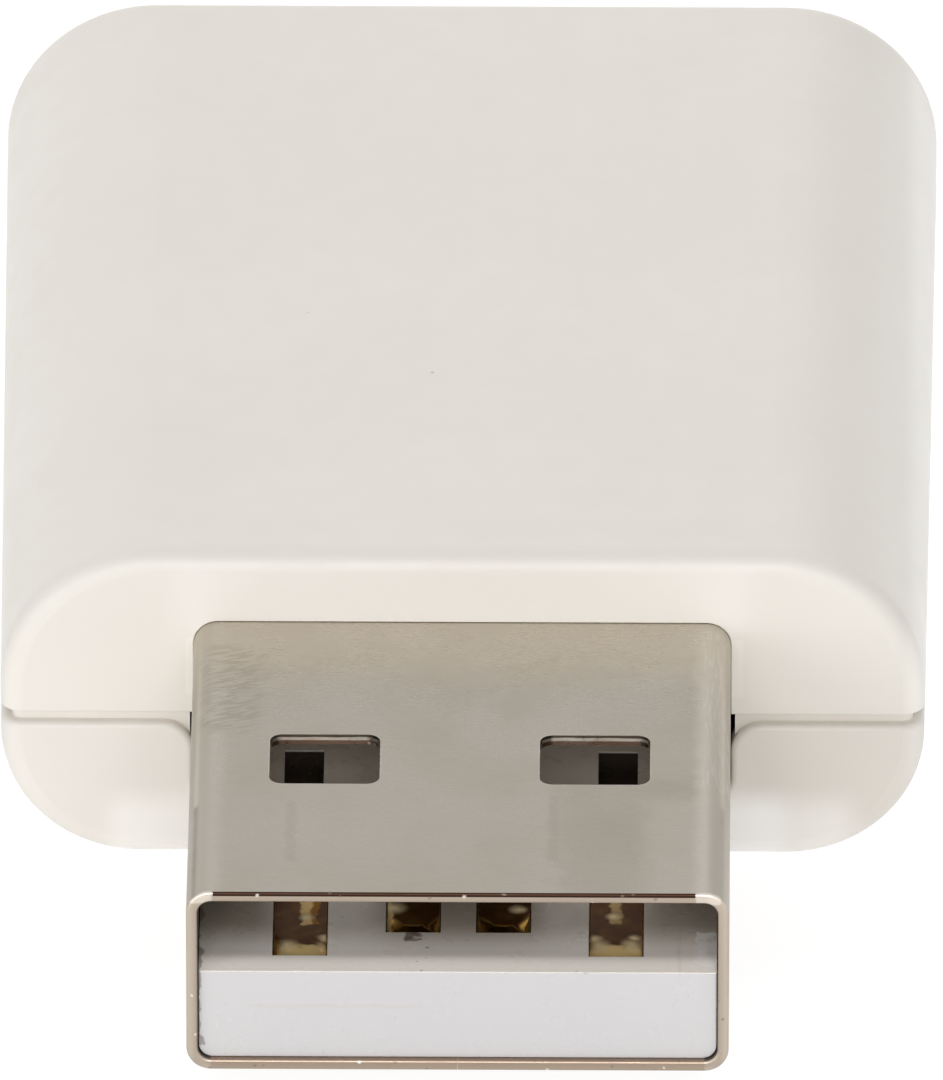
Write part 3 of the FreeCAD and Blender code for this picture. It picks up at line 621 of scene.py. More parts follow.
@dataclass(frozen=True)
class BoardLaminate(Finish):
    """A board's solder mask over copper lines, with bare glass-fibre at its edges."""

    drift: Rgb = (0.03, 0.14, 0.07)
    copper: Rgb = (0.10, 0.33, 0.17)
    copper_share: float = 0.8
    fibre: Rgb = (0.42, 0.40, 0.22)
    fibre_roughness: float = 0.4
    line_pitch: float = 0.9
    line_width: float = 0.22
    line_length: float = 3.7
    line_height: float = 0.012

    def wire(self, w: Wiring) -> None:
        """Feeds the shader with the mask's green, the copper under it and the bare edge.

        Args:
            w: The material's wiring.
        """
        black, white = (0, 0, 0), (1, 1, 1)
        cell = w.add("ShaderNodeTexBrick", {
            "Vector": w.place(), "Scale": 1.0, "Mortar Size": self.line_width / 2, "Mortar Smooth": 0.1,
            "Brick Width": self.line_length, "Row Height": self.line_pitch, "Color1": black,
            "Color2": black, "Mortar": white})
        line = w.add("ShaderNodeSeparateColor", {0: cell.outputs["Color"]}).outputs[0]
        tint = w.effect(Effect.CLOUDS, Colour=self.colour, Drift=self.drift, Size=3.0, Share=0.6)
        face = w.blend(w.times(line, self.copper_share), tint, self.copper)
        edge = w.ramp(w.math("ABSOLUTE", w.up()), low=0.7, high=0.4)
        w.give("Base Color", w.blend(edge, face, self.fibre))
        w.give("Roughness", w.math("ADD", w.times(edge, self.fibre_roughness), self.roughness))
        grain = w.effect(Effect.GRAIN, Size=0.15, Depth=0.3)
        w.relief(w.math("ADD", grain, line), self.line_height)


@dataclass(frozen=True)
class FiredCeramic(Finish):
    """Fired ceramic or moulded epoxy of a small part, with pores and a soft change of colour."""

    drift: Rgb = (0.5, 0.4, 0.3)
    pore_colour: Rgb = (0.1, 0.09, 0.08)
    pore_share: float = 0.3
    mark: tuple[Place, float] | None = None
    mark_colour: Rgb = (0.5, 0.5, 0.5)
    mark_depth: float = 2.0
    tint_share: float = 0.6
    relief_height: float = 0.004

    def wire(self, w: Wiring) -> None:
        """Feeds the shader with the body's colour, pores and pin mark.

        Args:
            w: The material's wiring.
        """
        tint = w.effect(Effect.CLOUDS, Colour=self.colour, Drift=self.drift, Size=0.8, Share=0.6)
        pores = w.effect(Effect.SPECKS, Spacing=0.16, Radius=0.03, Share=self.pore_share)
        tint = w.blend(w.times(pores, self.tint_share), tint, self.pore_colour)
        height = w.math("SUBTRACT", w.effect(Effect.GRAIN, Size=0.07, Depth=0.6), pores)
        if self.mark:
            centre, radius = self.mark
            dot = w.effect(Effect.SPOT, Centre=centre, Radius=radius, Softness=0.15)
            tint = w.blend(w.times(dot, self.tint_share), tint, self.mark_colour)
            height = w.math("SUBTRACT", height, w.times(dot, self.mark_depth))
        w.give("Base Color", tint)
        self.uneven_gloss(w, scale=3.0, detail=2.0, change=0.2)
        w.relief(height, self.relief_height)


@dataclass(frozen=True)
class PrintedCeramic(FiredCeramic):
    """Ceramic with a fired silver line that winds over it and wraps round both ends."""

    silver: Rgb = (0.62, 0.62, 0.6)
    silver_gloss: float = 0.2
    half_length: float = 2.6
    end_width: float = 0.35
    line_pitch: float = 0.62
    line_width: float = 0.2
    line_fade: float = 0.02

    def wire(self, w: Wiring) -> None:
        """Feeds the shader with the ceramic and the silver line on it.

        Args:
            w: The material's wiring.
        """
        super().wire(w)
        along = w.axes(w.place())[0]
        inside = self.half_length - self.end_width
        ends = w.ramp(w.math("ABSOLUTE", along), inside, inside + self.line_fade)
        turns = w.math("PINGPONG", along, self.line_pitch / 2)
        line = w.ramp(turns, self.line_width / 2, self.line_width / 2 - self.line_fade)
        silver = w.math("MAXIMUM", ends, line)
        ceramic = w.so_far("Base Color")
        gloss = w.so_far("Roughness")
        w.give("Base Color", w.blend(silver, ceramic, self.silver))
        w.give("Metallic", silver)
        smoother = w.math("SUBTRACT", 1.0, w.times(silver, self.silver_gloss))
        w.give("Roughness", w.times(gloss, smoother))


@dataclass(frozen=True)
class ClearLens(Finish):
    """The clear resin of a lamp, tinted by the phosphor under it."""

    glow: Rgb = (0.9, 0.8, 0.3)
    skin: float = 0.5
    flow_height: float = 0.003

    def wire(self, w: Wiring) -> None:
        """Feeds the shader with the resin's tint, its flow marks and its polished skin.

        Args:
            w: The material's wiring.
        """
        tint = w.effect(Effect.CLOUDS, Colour=self.colour, Drift=self.glow, Size=0.5, Share=0.7)
        w.give("Base Color", tint)
        self.uneven_gloss(w, scale=4.0, detail=2.0, change=0.4)
        w.give("Coat Weight", self.skin)
        w.relief(w.effect(Effect.GRAIN, Size=0.2, Depth=1.0), self.flow_height)


HOUSING = MouldedPlastic(
    "moulded white shell", shown(232, 227, 220), 0.42, drift=shown(229, 224, 215), cloud_size=7.0,
    zones=(
        # Painted light: a pale strip just above the plug's opening.
        Zone((-6, -7.3, 6.2), (6, -6.7, 7.0), shown(244, 240, 238), 0.3, 0.9),
        # Painted light: the right side of the shells lighter.
        Zone((10.3, -9, -1), (12, 21, 9), shown(255, 253, 249), 0.5, 0.5),
        # Painted shade: the lower front darker to the right and to the left of the plug.
        Zone((6.8, -9, 1.3), (10.5, -4, 3.1), shown(214, 207, 199), 0.5, 1.0),
        Zone((-10.5, -9, 1.3), (-7.2, -4, 3.1), shown(222, 216, 210), 0.4, 1.0),
        # Painted light: the lower front lighter towards the floor, and lighter still just right of the
        # plug.
        Zone((-7.4, -9, -2), (8.2, -4, 1.0), shown(252, 249, 245), 0.6, 1.0),
        Zone((5.6, -9, -2), (6.6, -4, 1.0), shown(255, 254, 252), 0.8, 1.0),
        # Painted light: the front round the plug's sides lightened over the dark gap there.
        Zone((-6.16, -7.2, 4.2), (6.24, -6.9, 5.6), shown(248, 246, 242), 0.25, 0.06)),
    grain_size=0.09, grain_depth=0.0012, speck_share=0.06, speck_spacing=3.1, speck_radius=0.02,
    spots=(((-0.748, 1.505, 7.75), 0.06, 0.8), ((-3.593, 4.307, 7.75), 0.05, 0.4),
           ((7.673, -3.428, 7.75), 0.05, 0.3), ((8.855, 5.17, 7.6), 0.16, 0.35)))
INSERT = MouldedPlastic(
    "white plug insert", shown(207, 205, 205), 0.3, drift=shown(205, 203, 204), cloud_size=2.5, zones=(
        # Painted light: the tongue's top lighter and warmer than its front.
        Zone((-7, -20, 3.945), (7, 0, 6), shown(244, 236, 228), 1.0, 0.01),
        # Painted shade: darker further into the plug, and darker still from there back to the latch
        # windows.
        Zone((-7, -16.6, 3.945), (7, 0, 6), shown(200, 190, 174), 0.5, 1.6),
        Zone((-9, -16.95, 2.0), (9, -12.6, 8), shown(156, 146, 133), 0.85, 1.3),
        # Painted shade: the slots and lower faces behind the latch windows nearly black.
        Zone((-7, -11.5, -1), (7, 0, 3.9), shown(60, 51, 43), 1.0, 0.03),
        Zone((-1.14, -17.74, 3.9), (-0.82, -17.5, 4), shown(90, 74, 62), 0.85, 0.08, 0.6),
        Zone((-4.6, -19.4, 3.06), (-0.8, -19.2, 3.09), shown(190, 170, 150), 0.12, 0.05, 0.1),
        Zone((4.88, -19.3, 3.9), (4.92, -16.4, 4), shown(160, 148, 138), 0.12, 0.04, 0.05),
        Zone((5.32, -18.9, 3.9), (5.7, -17.4, 4), shown(252, 248, 244), 0.7, 0.08, 0.6),
        # Painted shade in the gap along the tongue's left side.
        Zone((-5.8, -19.45, 2.0), (-5.71, -16.0, 4), shown(96, 78, 64), 0.55, 0.04, 0.5),
    ),
    front_edge=-19.3, front_rounding=1.0, grain_size=0.06, grain_depth=0.001,
    speck_share=0.05, speck_spacing=1.6, speck_radius=0.02,
    speck_colour=shown(140, 128, 118),
    spots=(((-1.1, -17.56, 3.955), 0.09, 0.8), ((-0.86, -17.6, 3.955), 0.1, 0.9),
           ((-0.98, -17.76, 3.955), 0.06, 0.7), ((-0.68, -18.12, 3.955), 0.06, 0.9),
           ((-0.9, -18.75, 3.955), 0.04, 0.7), ((-0.7, -18.6, 3.955), 0.035, 0.6),
           ((-0.8, -19.16, 3.955), 0.05, 0.7), ((2.63, -19.17, 3.955), 0.05, 0.6),
           ((2.83, -19.22, 3.94), 0.05, 0.6)))
BUTTON = MouldedPlastic("button white", shown(224, 222, 218), 0.45, drift=shown(218, 214, 206),
                        cloud_size=1.0)
MOUTH = -19.375  # the plug's front in millimetres
FRONT = MOUTH - 0.1  # a little before it
# Mark colours: the dark one for scratches and pits, the bright one for light scratches and for the rim's
# painted glints.
SCUFF, BRIGHT_SCRATCH_AND_GLINT = (0.2, 0.17, 0.13), (0.9, 0.87, 0.82)
# The far edge of a latch window in bands, top to bottom: a dark line of painted shade, a painted highlight
# and a red-brown band. Each band: heights, colour, share, softness and wobble.
LATCH_EDGE = (
    (5.968, 6.02, shown(96, 90, 78), 0.8, 0.008, 0.0),
    (5.885, 5.96, shown(255, 250, 240), 1.0, 0.01, 0.06),
    (5.7, 5.88, shown(130, 96, 80), 0.8, 0.015, 0.0),
)
PLUG_STEEL = PlugSteel(
    "plug steel", shown(170, 164, 154), 0.3, tarnish=shown(164, 155, 141), zones=(
        # Painted shade: the inside of the shell darker near the mouth; on the next line, painted light:
        # lighter further in, under the latch windows.
        Zone((-5.8, MOUTH + 0.05, 1.7), (5.8, -15.2, 5.84), shown(104, 97, 88), 1.0, 0.12),
        Zone((-5.8, -15.2, 1.7), (5.8, 0, 5.84), shown(206, 196, 180), 1.0, 0.12),
        # Painted reflection: the top warmer and lighter towards the housing, as if mirroring its front.
        Zone((-7, -7.6, 5.5), (7, 0, 7), shown(193, 186, 172), 0.8, 3.2, 1.6),
        Zone((-3.74, -17.9, 5.9), (-3.66, -15.3, 6.1), shown(120, 112, 100), 0.12, 0.16, 0.3),
        Zone((2.06, -17.8, 5.9), (2.14, -15.0, 6.1), shown(116, 106, 94), 0.14, 0.14, 0.3),
        Zone((2.6, -19.2, 5.9), (5.0, -14.6, 6.1), shown(150, 140, 126), 0.35, 0.8, 1.0),
        # Painted highlights along the top's two long edges, stronger near the right front corner.
        Zone((5.45, -19.3, 5.9), (5.75, -7.4, 6.1), shown(198, 192, 181), 0.6, 0.35, 0.2),
        Zone((4.6, -19.3, 5.9), (5.75, -15.5, 6.1), shown(184, 177, 167), 0.45, 0.9, 0.4),
        Zone((-5.75, -19.3, 5.9), (-5.45, -7.4, 6.1), shown(188, 182, 171), 0.4, 0.35, 0.2),
        # Painted reflection: the rim's front face in a warm, light tint.
        Zone((-6.1, FRONT, 1.5), (6.1, -19.34, 5.955), shown(192, 177, 160), 0.6, 0.01),
        # Painted dark reflection: a dark line along the top rim's rounding.
        Zone((-5.4, FRONT, 5.945), (5.25, -19.341, 6.1), shown(58, 40, 32), 1.0, 0.012),
        # Painted shade: the top rim's front a little darker than its sides.
        Zone((-5.4, FRONT, 5.8), (5.25, -19.33, 5.93), shown(170, 154, 138), 0.5, 0.02),
        # Painted highlights at the rim's two top corners.
        Zone((-5.9, FRONT, 5.8), (-5.46, -19.33, 6.1), shown(238, 230, 220), 0.45, 0.06, 0.2),
        Zone((5.32, FRONT, 5.8), (5.78, -19.33, 6.1), shown(238, 230, 220), 0.45, 0.06, 0.2),
        # Painted shade over the bottom rim's rounding; on the next line, painted light and shade: the inner
        # bottom edge in a brown lighter than the shade further in.
        Zone((-5.45, FRONT, 1.5), (5.45, -19.1, 1.72), shown(156, 136, 118), 0.6, 0.03, 0.03),
        Zone((-5.45, FRONT, 1.73), (5.45, -19.1, 1.83), shown(158, 138, 122), 0.85, 0.02, 0.03),
        # Painted light and shade on the far wall of each latch window, in the bands above.
        *(Zone((left, -12.3, low), (left + 2.45, -12.14, high), *look)
          for left in (-4.225, 1.775) for low, high, *look in LATCH_EDGE),
        # Painted highlight at one corner of the left window's far wall.
        Zone((-2.04, -12.35, 5.74), (-1.88, -12.14, 5.84), shown(240, 234, 224), 0.9, 0.03, 0.05),
        Marks((-5.45, -11.8, 5.9), (-4.7, -8.4, 6.1), SCUFF, 0.26, 0.5, 0.8, Effect.SCRATCHES,
              {"Length": 0.5, "Width": 0.09, "Turn": -0.3, "Share": 0.95}),
        Marks((5.45, -14.5, 5.4), (5.95, -7.4, 6.1), BRIGHT_SCRATCH_AND_GLINT, 0.1, 0.1, 0.0, Effect.SCRATCHES,
              {"Length": 0.7, "Width": 0.06, "Turn": math.pi / 2, "Share": 0.75}),
        Marks((-6.2, -19.6, 1.4), (6.2, -19.33, 6.1), SCUFF, 0.55, 0.02, 0.0, Effect.SPECKS,
              {"Spacing": 0.24, "Radius": 0.05, "Share": 0.45}),
        # Painted highlights: small glints on the rim.
        Marks((-6.2, -19.6, 1.4), (6.2, -19.33, 6.1), BRIGHT_SCRATCH_AND_GLINT, 0.6, 0.02, 0.0, Effect.SPECKS,
              {"Spacing": 0.37, "Radius": 0.05, "Share": 0.4}),
    ))
CAN_STEEL = PlatedSteel("can steel", shown(198, 198, 197), 0.32, tarnish=shown(182, 181, 178))
SWITCH_STEEL = PlatedSteel("switch steel", shown(196, 194, 190), 0.3, tarnish=shown(178, 172, 164))
CRYSTAL_LID = PlatedSteel("crystal lid", shown(208, 206, 198), 0.25, tarnish=shown(196, 190, 176),
                          tarnish_size=0.8, brush=(0.3, 0.02, 0.1))
TIN = PlatedSteel("solder tin", shown(200, 200, 198), 0.4, tarnish=shown(170, 168, 164), tarnish_size=0.5,
                  brush=(0.1, 0.1, 0.1))
GILT = Gilding("contact gilding", shown(190, 150, 84), 0.2, zones=(
    Zone((-3.46, -16.9, 3.8), (-3.3, -11, 3.9), shown(226, 196, 140), 0.95, 0.08, 0.4),
    Zone((-3.24, -16.9, 3.8), (-3.13, -11, 3.9), shown(160, 116, 62), 0.7, 0.06, 0.4),
    # Painted highlight over the left outer contact's bent tip.
    Zone((-3.9, -18.6, 2.9), (-2.9, -17.9, 3.84), shown(255, 226, 160), 0.95, 0.14, 0.3),
    Zone((3.4, -16.8, 3.8), (3.52, -11, 3.9), shown(206, 178, 130), 0.8, 0.12, 0.5),
    # Painted highlight over the right outer contact's bent tip.
    Zone((2.97, -18.6, 2.9), (3.95, -17.9, 3.84), shown(255, 226, 160), 0.95, 0.14, 0.3),
    # Painted highlight along an inner contact's left edge.
    Zone((-1.56, -17.2, 3.6), (-1.5, -15.6, 3.9), shown(222, 192, 136), 0.9, 0.06, 0.3),
), glints=(
    # Painted highlights: glint spots on the tips.
    ((-3.8, -17.82, 3.84), 0.32), ((-2.97, -17.5, 3.84), 0.22), ((-2.97, -17.8, 3.84), 0.22),
    ((3.03, -17.5, 3.84), 0.24), ((3.08, -17.8, 3.84), 0.36), ((3.92, -17.45, 3.84), 0.2),
    ((3.88, -17.75, 3.84), 0.34), ((-1.42, -16.15, 3.855), 0.36), ((1.3, -16.2, 3.855), 0.26),
    ((-3.38, -16.6, 3.855), 0.24), ((3.46, -16.5, 3.855), 0.26),
))
LAMINATE = BoardLaminate("board laminate", shown(24, 98, 58), 0.25)
PACKAGE = FiredCeramic("package epoxy", shown(40, 40, 41), 0.55, drift=shown(34, 33, 34), pore_share=0.15)
RADIO_PACKAGE = replace(PACKAGE, name="radio package epoxy", mark=((-6.2, 6.63, 3.545), 0.2))
MEMORY_PACKAGE = replace(PACKAGE, name="memory package epoxy", mark=((0.1, 6.65, 3.445), 0.16))
REGULATOR_PACKAGE = replace(PACKAGE, name="regulator package epoxy", mark=((-5.9, 1.9, 3.795), 0.1))
CAPACITOR = FiredCeramic("capacitor ceramic", shown(176, 148, 112), 0.4, drift=shown(160, 130, 96))
FERRITE = FiredCeramic("ferrite grey", shown(66, 66, 68), 0.5, drift=shown(54, 53, 54))
COIL = FiredCeramic("coil ceramic", shown(206, 208, 212), 0.35, drift=shown(190, 194, 202), pore_share=0.1)
RESISTOR = FiredCeramic("resistor glaze", shown(30, 31, 34), 0.25, drift=shown(42, 43, 48), pore_share=0.05)
CRYSTAL_BASE = FiredCeramic("crystal ceramic", shown(62, 52, 48), 0.5, drift=shown(50, 42, 40),
                            pore_share=0.1)
LAMP_BASE = FiredCeramic("lamp base", shown(226, 222, 206), 0.45, drift=shown(212, 204, 180),
                         pore_share=0.1)
AERIAL = PrintedCeramic("aerial ceramic", shown(222, 222, 216), 0.4, drift=shown(210, 208, 198),
                        pore_share=0.1)
LAMP_CLEAR = ClearLens("lamp resin", shown(228, 222, 176), 0.15)
SWITCH_BLACK = MouldedPlastic("switch black", shown(38, 38, 39), 0.5, drift=shown(30, 30, 31),
                              cloud_size=1.5, speck_colour=shown(80, 78, 74))


# Modelling helpers

def select_only(piece: bpy.types.Object) -> None:
    """Selects a piece alone and makes it the active one.

    Args:
        piece: The piece to select.
    """
    bpy.ops.object.select_all(action="DESELECT")
    piece.select_set(True)
    bpy.context.view_layer.objects.active = piece


def edit(piece: bpy.types.Object) -> None:
    """Opens a piece in edit mode with nothing in it selected.

    Args:
        piece: The piece to open.
    """
    select_only(piece)
    bpy.ops.object.mode_set(mode="EDIT")
    bpy.ops.mesh.select_all(action="DESELECT")


def close() -> None:
    """Goes back to object mode."""
    bpy.ops.object.mode_set(mode="OBJECT")


def pick(piece: bpy.types.Object, test: Callable[[Vector, Vector], bool]) -> None:
    """Selects, in edit mode, the faces that pass a test.

    Args:
        piece: The piece in edit mode.
        test: Says by a face's middle, in millimetres, and its normal whether it is wanted.
    """
    bpy.ops.mesh.select_mode(type="FACE")
    bpy.ops.mesh.select_all(action="DESELECT")
    bpy.ops.object.mode_set(mode="OBJECT")
    for face in piece.data.polygons:
        face.select = test(face.center / MM, face.normal)
    bpy.ops.object.mode_set(mode="EDIT")


def new_block(name: str, low: Place, high: Place) -> bpy.types.Object:
    """Adds a block between two corners, its place in its mesh.

    Args:
        name: The piece's name.
        low: Its lowest corner in millimetres.
        high: Its highest corner in millimetres.

    Returns:
        The new object.
    """
    bpy.ops.object.select_all(action="DESELECT")
    size = [(b - a) * MM for a, b in zip(low, high)]
    middle = [(a + b) / 2 * MM for a, b in zip(low, high)]
    bpy.ops.mesh.primitive_cube_add(size=1, location=middle, scale=size)
    piece = bpy.context.object
    piece.name = name
    bpy.ops.object.transform_apply(location=True, rotation=True, scale=True)
    return piece


def push(way: Place) -> None:
    """Extrudes the selected faces by a way in millimetres."""
    bpy.ops.mesh.extrude_region_move(TRANSFORM_OT_translate={"value": Vector(way) * MM})


def copy_beside(piece: bpy.types.Object, name: str, way: Place) -> bpy.types.Object:
    """Copies a finished piece, with a mesh of its own that is moved by a way.

    Args:
        piece: The piece to copy.
        name: The copy's name.
        way: How far the copy lies from it, in millimetres.

    Returns:
        The copy.
    """
    select_only(piece)
    bpy.ops.object.duplicate(linked=False)
    twin = bpy.context.object
    twin.name = name
    edit(twin)
    bpy.ops.mesh.select_all(action="SELECT")
    bpy.ops.transform.translate(value=Vector(way) * MM)
    close()
    return twin


def turn_down(x: float, y: float, z: float, angle: float, steps: int) -> None:
    """Spins the selected face about an axis along X.

    Args:
        x: The axis's place along X in millimetres.
        y: Its place along Y.
        z: Its height.
        angle: The turn in degrees.
        steps: How many parts the turn has.
    """
    centre = (x * MM, y * MM, z * MM)
    bpy.ops.mesh.spin(steps=steps, angle=math.radians(angle), axis=(-1, 0, 0), center=centre)


def cut(point: Place, normal: Place) -> None:
    """Cuts the piece in edit mode along a plane, and removes what lies on the normal's side.

    Args:
        point: A point of the plane in millimetres.
        normal: The plane's normal.
    """
    bpy.ops.mesh.select_all(action="SELECT")
    bpy.ops.mesh.bisect(plane_co=Vector(point) * MM, plane_no=normal, use_fill=True, clear_outer=True,
                        threshold=WELD)


def soften(piece: bpy.types.Object, width: float) -> None:
    """Rounds the piece's sharp edges and shades it smoothly.

    Args:
        piece: The piece to round.
        width: The rounding's width in millimetres.
    """
    select_only(piece)
    bevel = piece.modifiers.new("rounding", "BEVEL")
    bevel.width = width * MM
    bevel.segments = 2
    bevel.limit_method = "ANGLE"
    bevel.angle_limit = SHARP
    bpy.ops.object.modifier_apply(modifier=bevel.name)
    bpy.ops.object.shade_smooth_by_angle(angle=SMOOTH)
    level = piece.modifiers.new("flat faces", "WEIGHTED_NORMAL")
    level.keep_sharp = True
    bpy.ops.object.modifier_apply(modifier=level.name)


def dress(name: str, *finishes: Finish) -> bpy.types.Object:
    """Gives a CAD node its finishes in place of its plain colour.

    Args:
        name: The node's name.
        *finishes: The finishes, the one for most of it first.

    Returns:
        The node's object.
    """
    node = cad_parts[name]
    node.data.materials.clear()
    for finish in finishes:
        node.data.materials.append(finish.material())
    log.info("dressed %s", name)
    return node


def second_finish(node: bpy.types.Object, test: Callable[[Vector], bool]) -> None:
    """Gives some faces the node's second finish.

    Args:
        node: The dressed node.
        test: Says by a face's middle, in millimetres, whether the face takes it.
    """
    for face in node.data.polygons:
        if test(face.center / MM):
            face.material_index = 1


def tin_ends(name: str, finish: Finish, *middles: float) -> None:
    """Dresses small two-ended parts and tins their end caps.

    Args:
        name: The node that holds the parts.
        finish: The finish of their bodies.
        *middles: Each part's middle along Y in millimetres, or none for a single row.
    """
    low, high = (corner.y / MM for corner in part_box(name))
    rows = middles or ((low + high) / 2,)
    half = max(high - rows[-1], rows[0] - low)
    node = dress(name, finish, TIN)
    second_finish(node, lambda middle: min(abs(middle.y - row) for row in rows) > half / 2)


def settle(piece: bpy.types.Object, slot: str, *nodes: str) -> None:
    """Puts a new piece on the body and hides the CAD nodes that it stands for.

    Args:
        piece: The new piece.
        slot: Not used.
        *nodes: The CAD nodes that it replaces.
    """
    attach(piece, BODY)
    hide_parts(*nodes)
    log.info("made %s of %d faces", piece.name, len(piece.data.polygons))


# Sub-assemblies. Lengths are in millimetres.

@dataclass
class Housing:
    """The two white shells."""

    finish: Finish = HOUSING

    def build(self) -> None:
        """Dresses both shells."""
        for name in ("upper_shell", "lower_shell"):
            dress(name, self.finish)


@dataclass
class Plug:
    """The metal plug with its white insert and four gilt contacts."""

    outer_place: float = 3.5
    outer_tip: float = -18.425
    inner_place: float = 1.0
    inner_tip: float = -17.365
    strip_width: float = 1.18
    strip_thickness: float = 0.25
    strip_top: float = 3.855
    tip_drop: float = 0.5
    tip_bend: float = 0.4
    tip_steps: int = 10
    dive: float = -10.775
    dive_bend: float = 0.2
    dive_steps: int = 6
    tail_width: float = 0.8
    tail_top: float = 2.945
    tail_end: float = 0.825
    facet_length: float = 1.1
    facet_depth: float = 0.22
    facet_setback: float = 0.15
    facet_dip: float = 0.03
    facet_share: float = 0.85
    rounding: float = 0.02

    def build(self) -> None:
        """Dresses the sheet and the insert, and makes the four contacts."""
        dress("usb_shell", PLUG_STEEL)
        dress("usb_insulator", INSERT)
        for x, tip, right, left in (
            (self.outer_place, self.outer_tip, "supply", "ground"),
            (self.inner_place, self.inner_tip, "data_minus", "data_plus"),
        ):
            strip = self.strip(f"{right}_strip", x, tip)
            twin = copy_beside(strip, f"{left}_strip", (-2 * x, 0, 0))
            settle(strip, "gilt", f"{right}_contact")
            settle(twin, "gilt", f"{left}_contact")

    def strip(self, name: str, x: float, tip: float) -> bpy.types.Object:
        """Makes one contact.

        Args:
            name: The piece's name.
            x: The middle of the strip.
            tip: The front of its bent tip.

        Returns:
            The finished contact.
        """
        half = self.strip_width / 2
        low = self.strip_top - self.strip_thickness
        bend = self.tip_bend + self.strip_thickness / 2
        start = tip + bend
        narrow = self.dive - self.strip_thickness
        piece = new_block(name, (x - half, start, low), (x + half, narrow, self.strip_top))
        edit(piece)
        pick(piece, lambda middle, normal: normal.y < -FACING)
        turn_down(x, start, self.strip_top - bend, 90, self.tip_steps)
        bottom = self.strip_top - self.strip_thickness / 2 - self.tip_drop
        push((0, 0, bottom - self.strip_top + bend))
        pick(piece, lambda middle, normal: normal.y > FACING and middle.y > narrow - SLACK)
        push((0, 0, 0))
        share = self.tail_width / self.strip_width
        bpy.ops.transform.resize(value=(share, 1, 1), center_override=(x * MM, 0, 0))
        push((0, self.strip_thickness - self.dive_bend, 0))
        upper = self.strip_top - self.strip_thickness / 2 - self.dive_bend
        lower = self.tail_top - self.strip_thickness / 2 + self.dive_bend
        turn_down(x, self.dive - self.dive_bend, upper, -90, self.dive_steps)
        push((0, 0, lower - upper))
        turn_down(x, self.dive + self.dive_bend, lower, 90, self.dive_steps)
        push((0, self.tail_end - self.dive - self.dive_bend, 0))
        for side in (-1, 1):
            self.facet(Vector((x + side * half, tip, self.strip_top)), side)
        bpy.ops.mesh.select_all(action="SELECT")
        bpy.ops.mesh.remove_doubles(threshold=WELD)
        bpy.ops.mesh.normals_make_consistent(inside=False)
        close()
        soften(piece, self.rounding)
        piece.data.materials.append(GILT.material())
        return piece

    def facet(self, corner: Vector, side: int) -> None:
        """Cuts one of the two slanted facets that narrow the tip's top to a blunt point.

        Args:
            corner: The strip's upper front corner on that side.
            side: Minus one for the left and one for the right.
        """
        start = corner + Vector((0, self.facet_length, 0))
        inward = -side * self.facet_share * self.strip_width / 2
        inner = corner + Vector((inward, self.facet_setback, -self.facet_dip))
        outer = corner + Vector((0, self.facet_setback, -self.facet_depth))
        cut(start, (inner - start).cross(outer - start) * side)


@dataclass
class BoardParts:
    """What stands on the circuit board, whose top lies at this height."""

    board_top: float = 2.695


@dataclass
class Board(BoardParts):
    """The circuit board with the antenna, the small parts of the network and the lamp."""

    lamp_base: float = 0.25

    def build(self) -> None:
        """Dresses the board, the antenna, the coils, the resistors and the lamp."""
        dress("circuit_board", LAMINATE)
        dress("chip_antenna", AERIAL)
        tin_ends("matching_inductors", COIL)
        tin_ends("resistors", RESISTOR)
        lamp = dress("status_led", LAMP_CLEAR, LAMP_BASE)
        second_finish(lamp, lambda middle: middle.z < self.board_top + self.lamp_base + SLACK)


@dataclass
class Radio(BoardParts):
    """The radio under its steel can."""

    crystal_base: float = 0.35
    capacitor_length: float = 1.0

    def build(self) -> None:
        """Dresses the can and what it covers."""
        dress("shield_can", CAN_STEEL)
        dress("radio_chip", RADIO_PACKAGE)
        dress("memory_chip", MEMORY_PACKAGE)
        crystal = dress("crystal", CRYSTAL_LID, CRYSTAL_BASE)
        second_finish(crystal, lambda middle: middle.z < self.board_top + self.crystal_base + SLACK)
        low, high = (corner.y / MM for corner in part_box("bypass_capacitors"))
        first, last = low + self.capacitor_length / 2, high - self.capacitor_length / 2
        tin_ends("bypass_capacitors", CAPACITOR, first, (first + last) / 2, last)


@dataclass
class Supply(BoardParts):
    """The parts that turn the plug's supply into the board's."""

    regulator_half: float = 0.8
    diode_half: float = 0.9
    terminal: float = 0.15

    def build(self) -> None:
        """Dresses the regulator, the ferrite, the capacitors and the diode."""
        regulator = dress("voltage_regulator", REGULATOR_PACKAGE, TIN)
        low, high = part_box("voltage_regulator")
        line = (low.x + high.x) / 2 / MM
        second_finish(regulator, lambda middle: abs(middle.x - line) > self.regulator_half + SLACK)
        tin_ends("supply_ferrite", FERRITE)
        tin_ends("supply_capacitors", CAPACITOR)
        diode = dress("protection_diode", PACKAGE, TIN)
        low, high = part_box("protection_diode")
        row = (low.y + high.y) / 2 / MM
        foot = self.board_top + self.terminal + SLACK
        second_finish(diode, lambda middle: middle.z < foot and abs(middle.y - row) > self.diode_half)


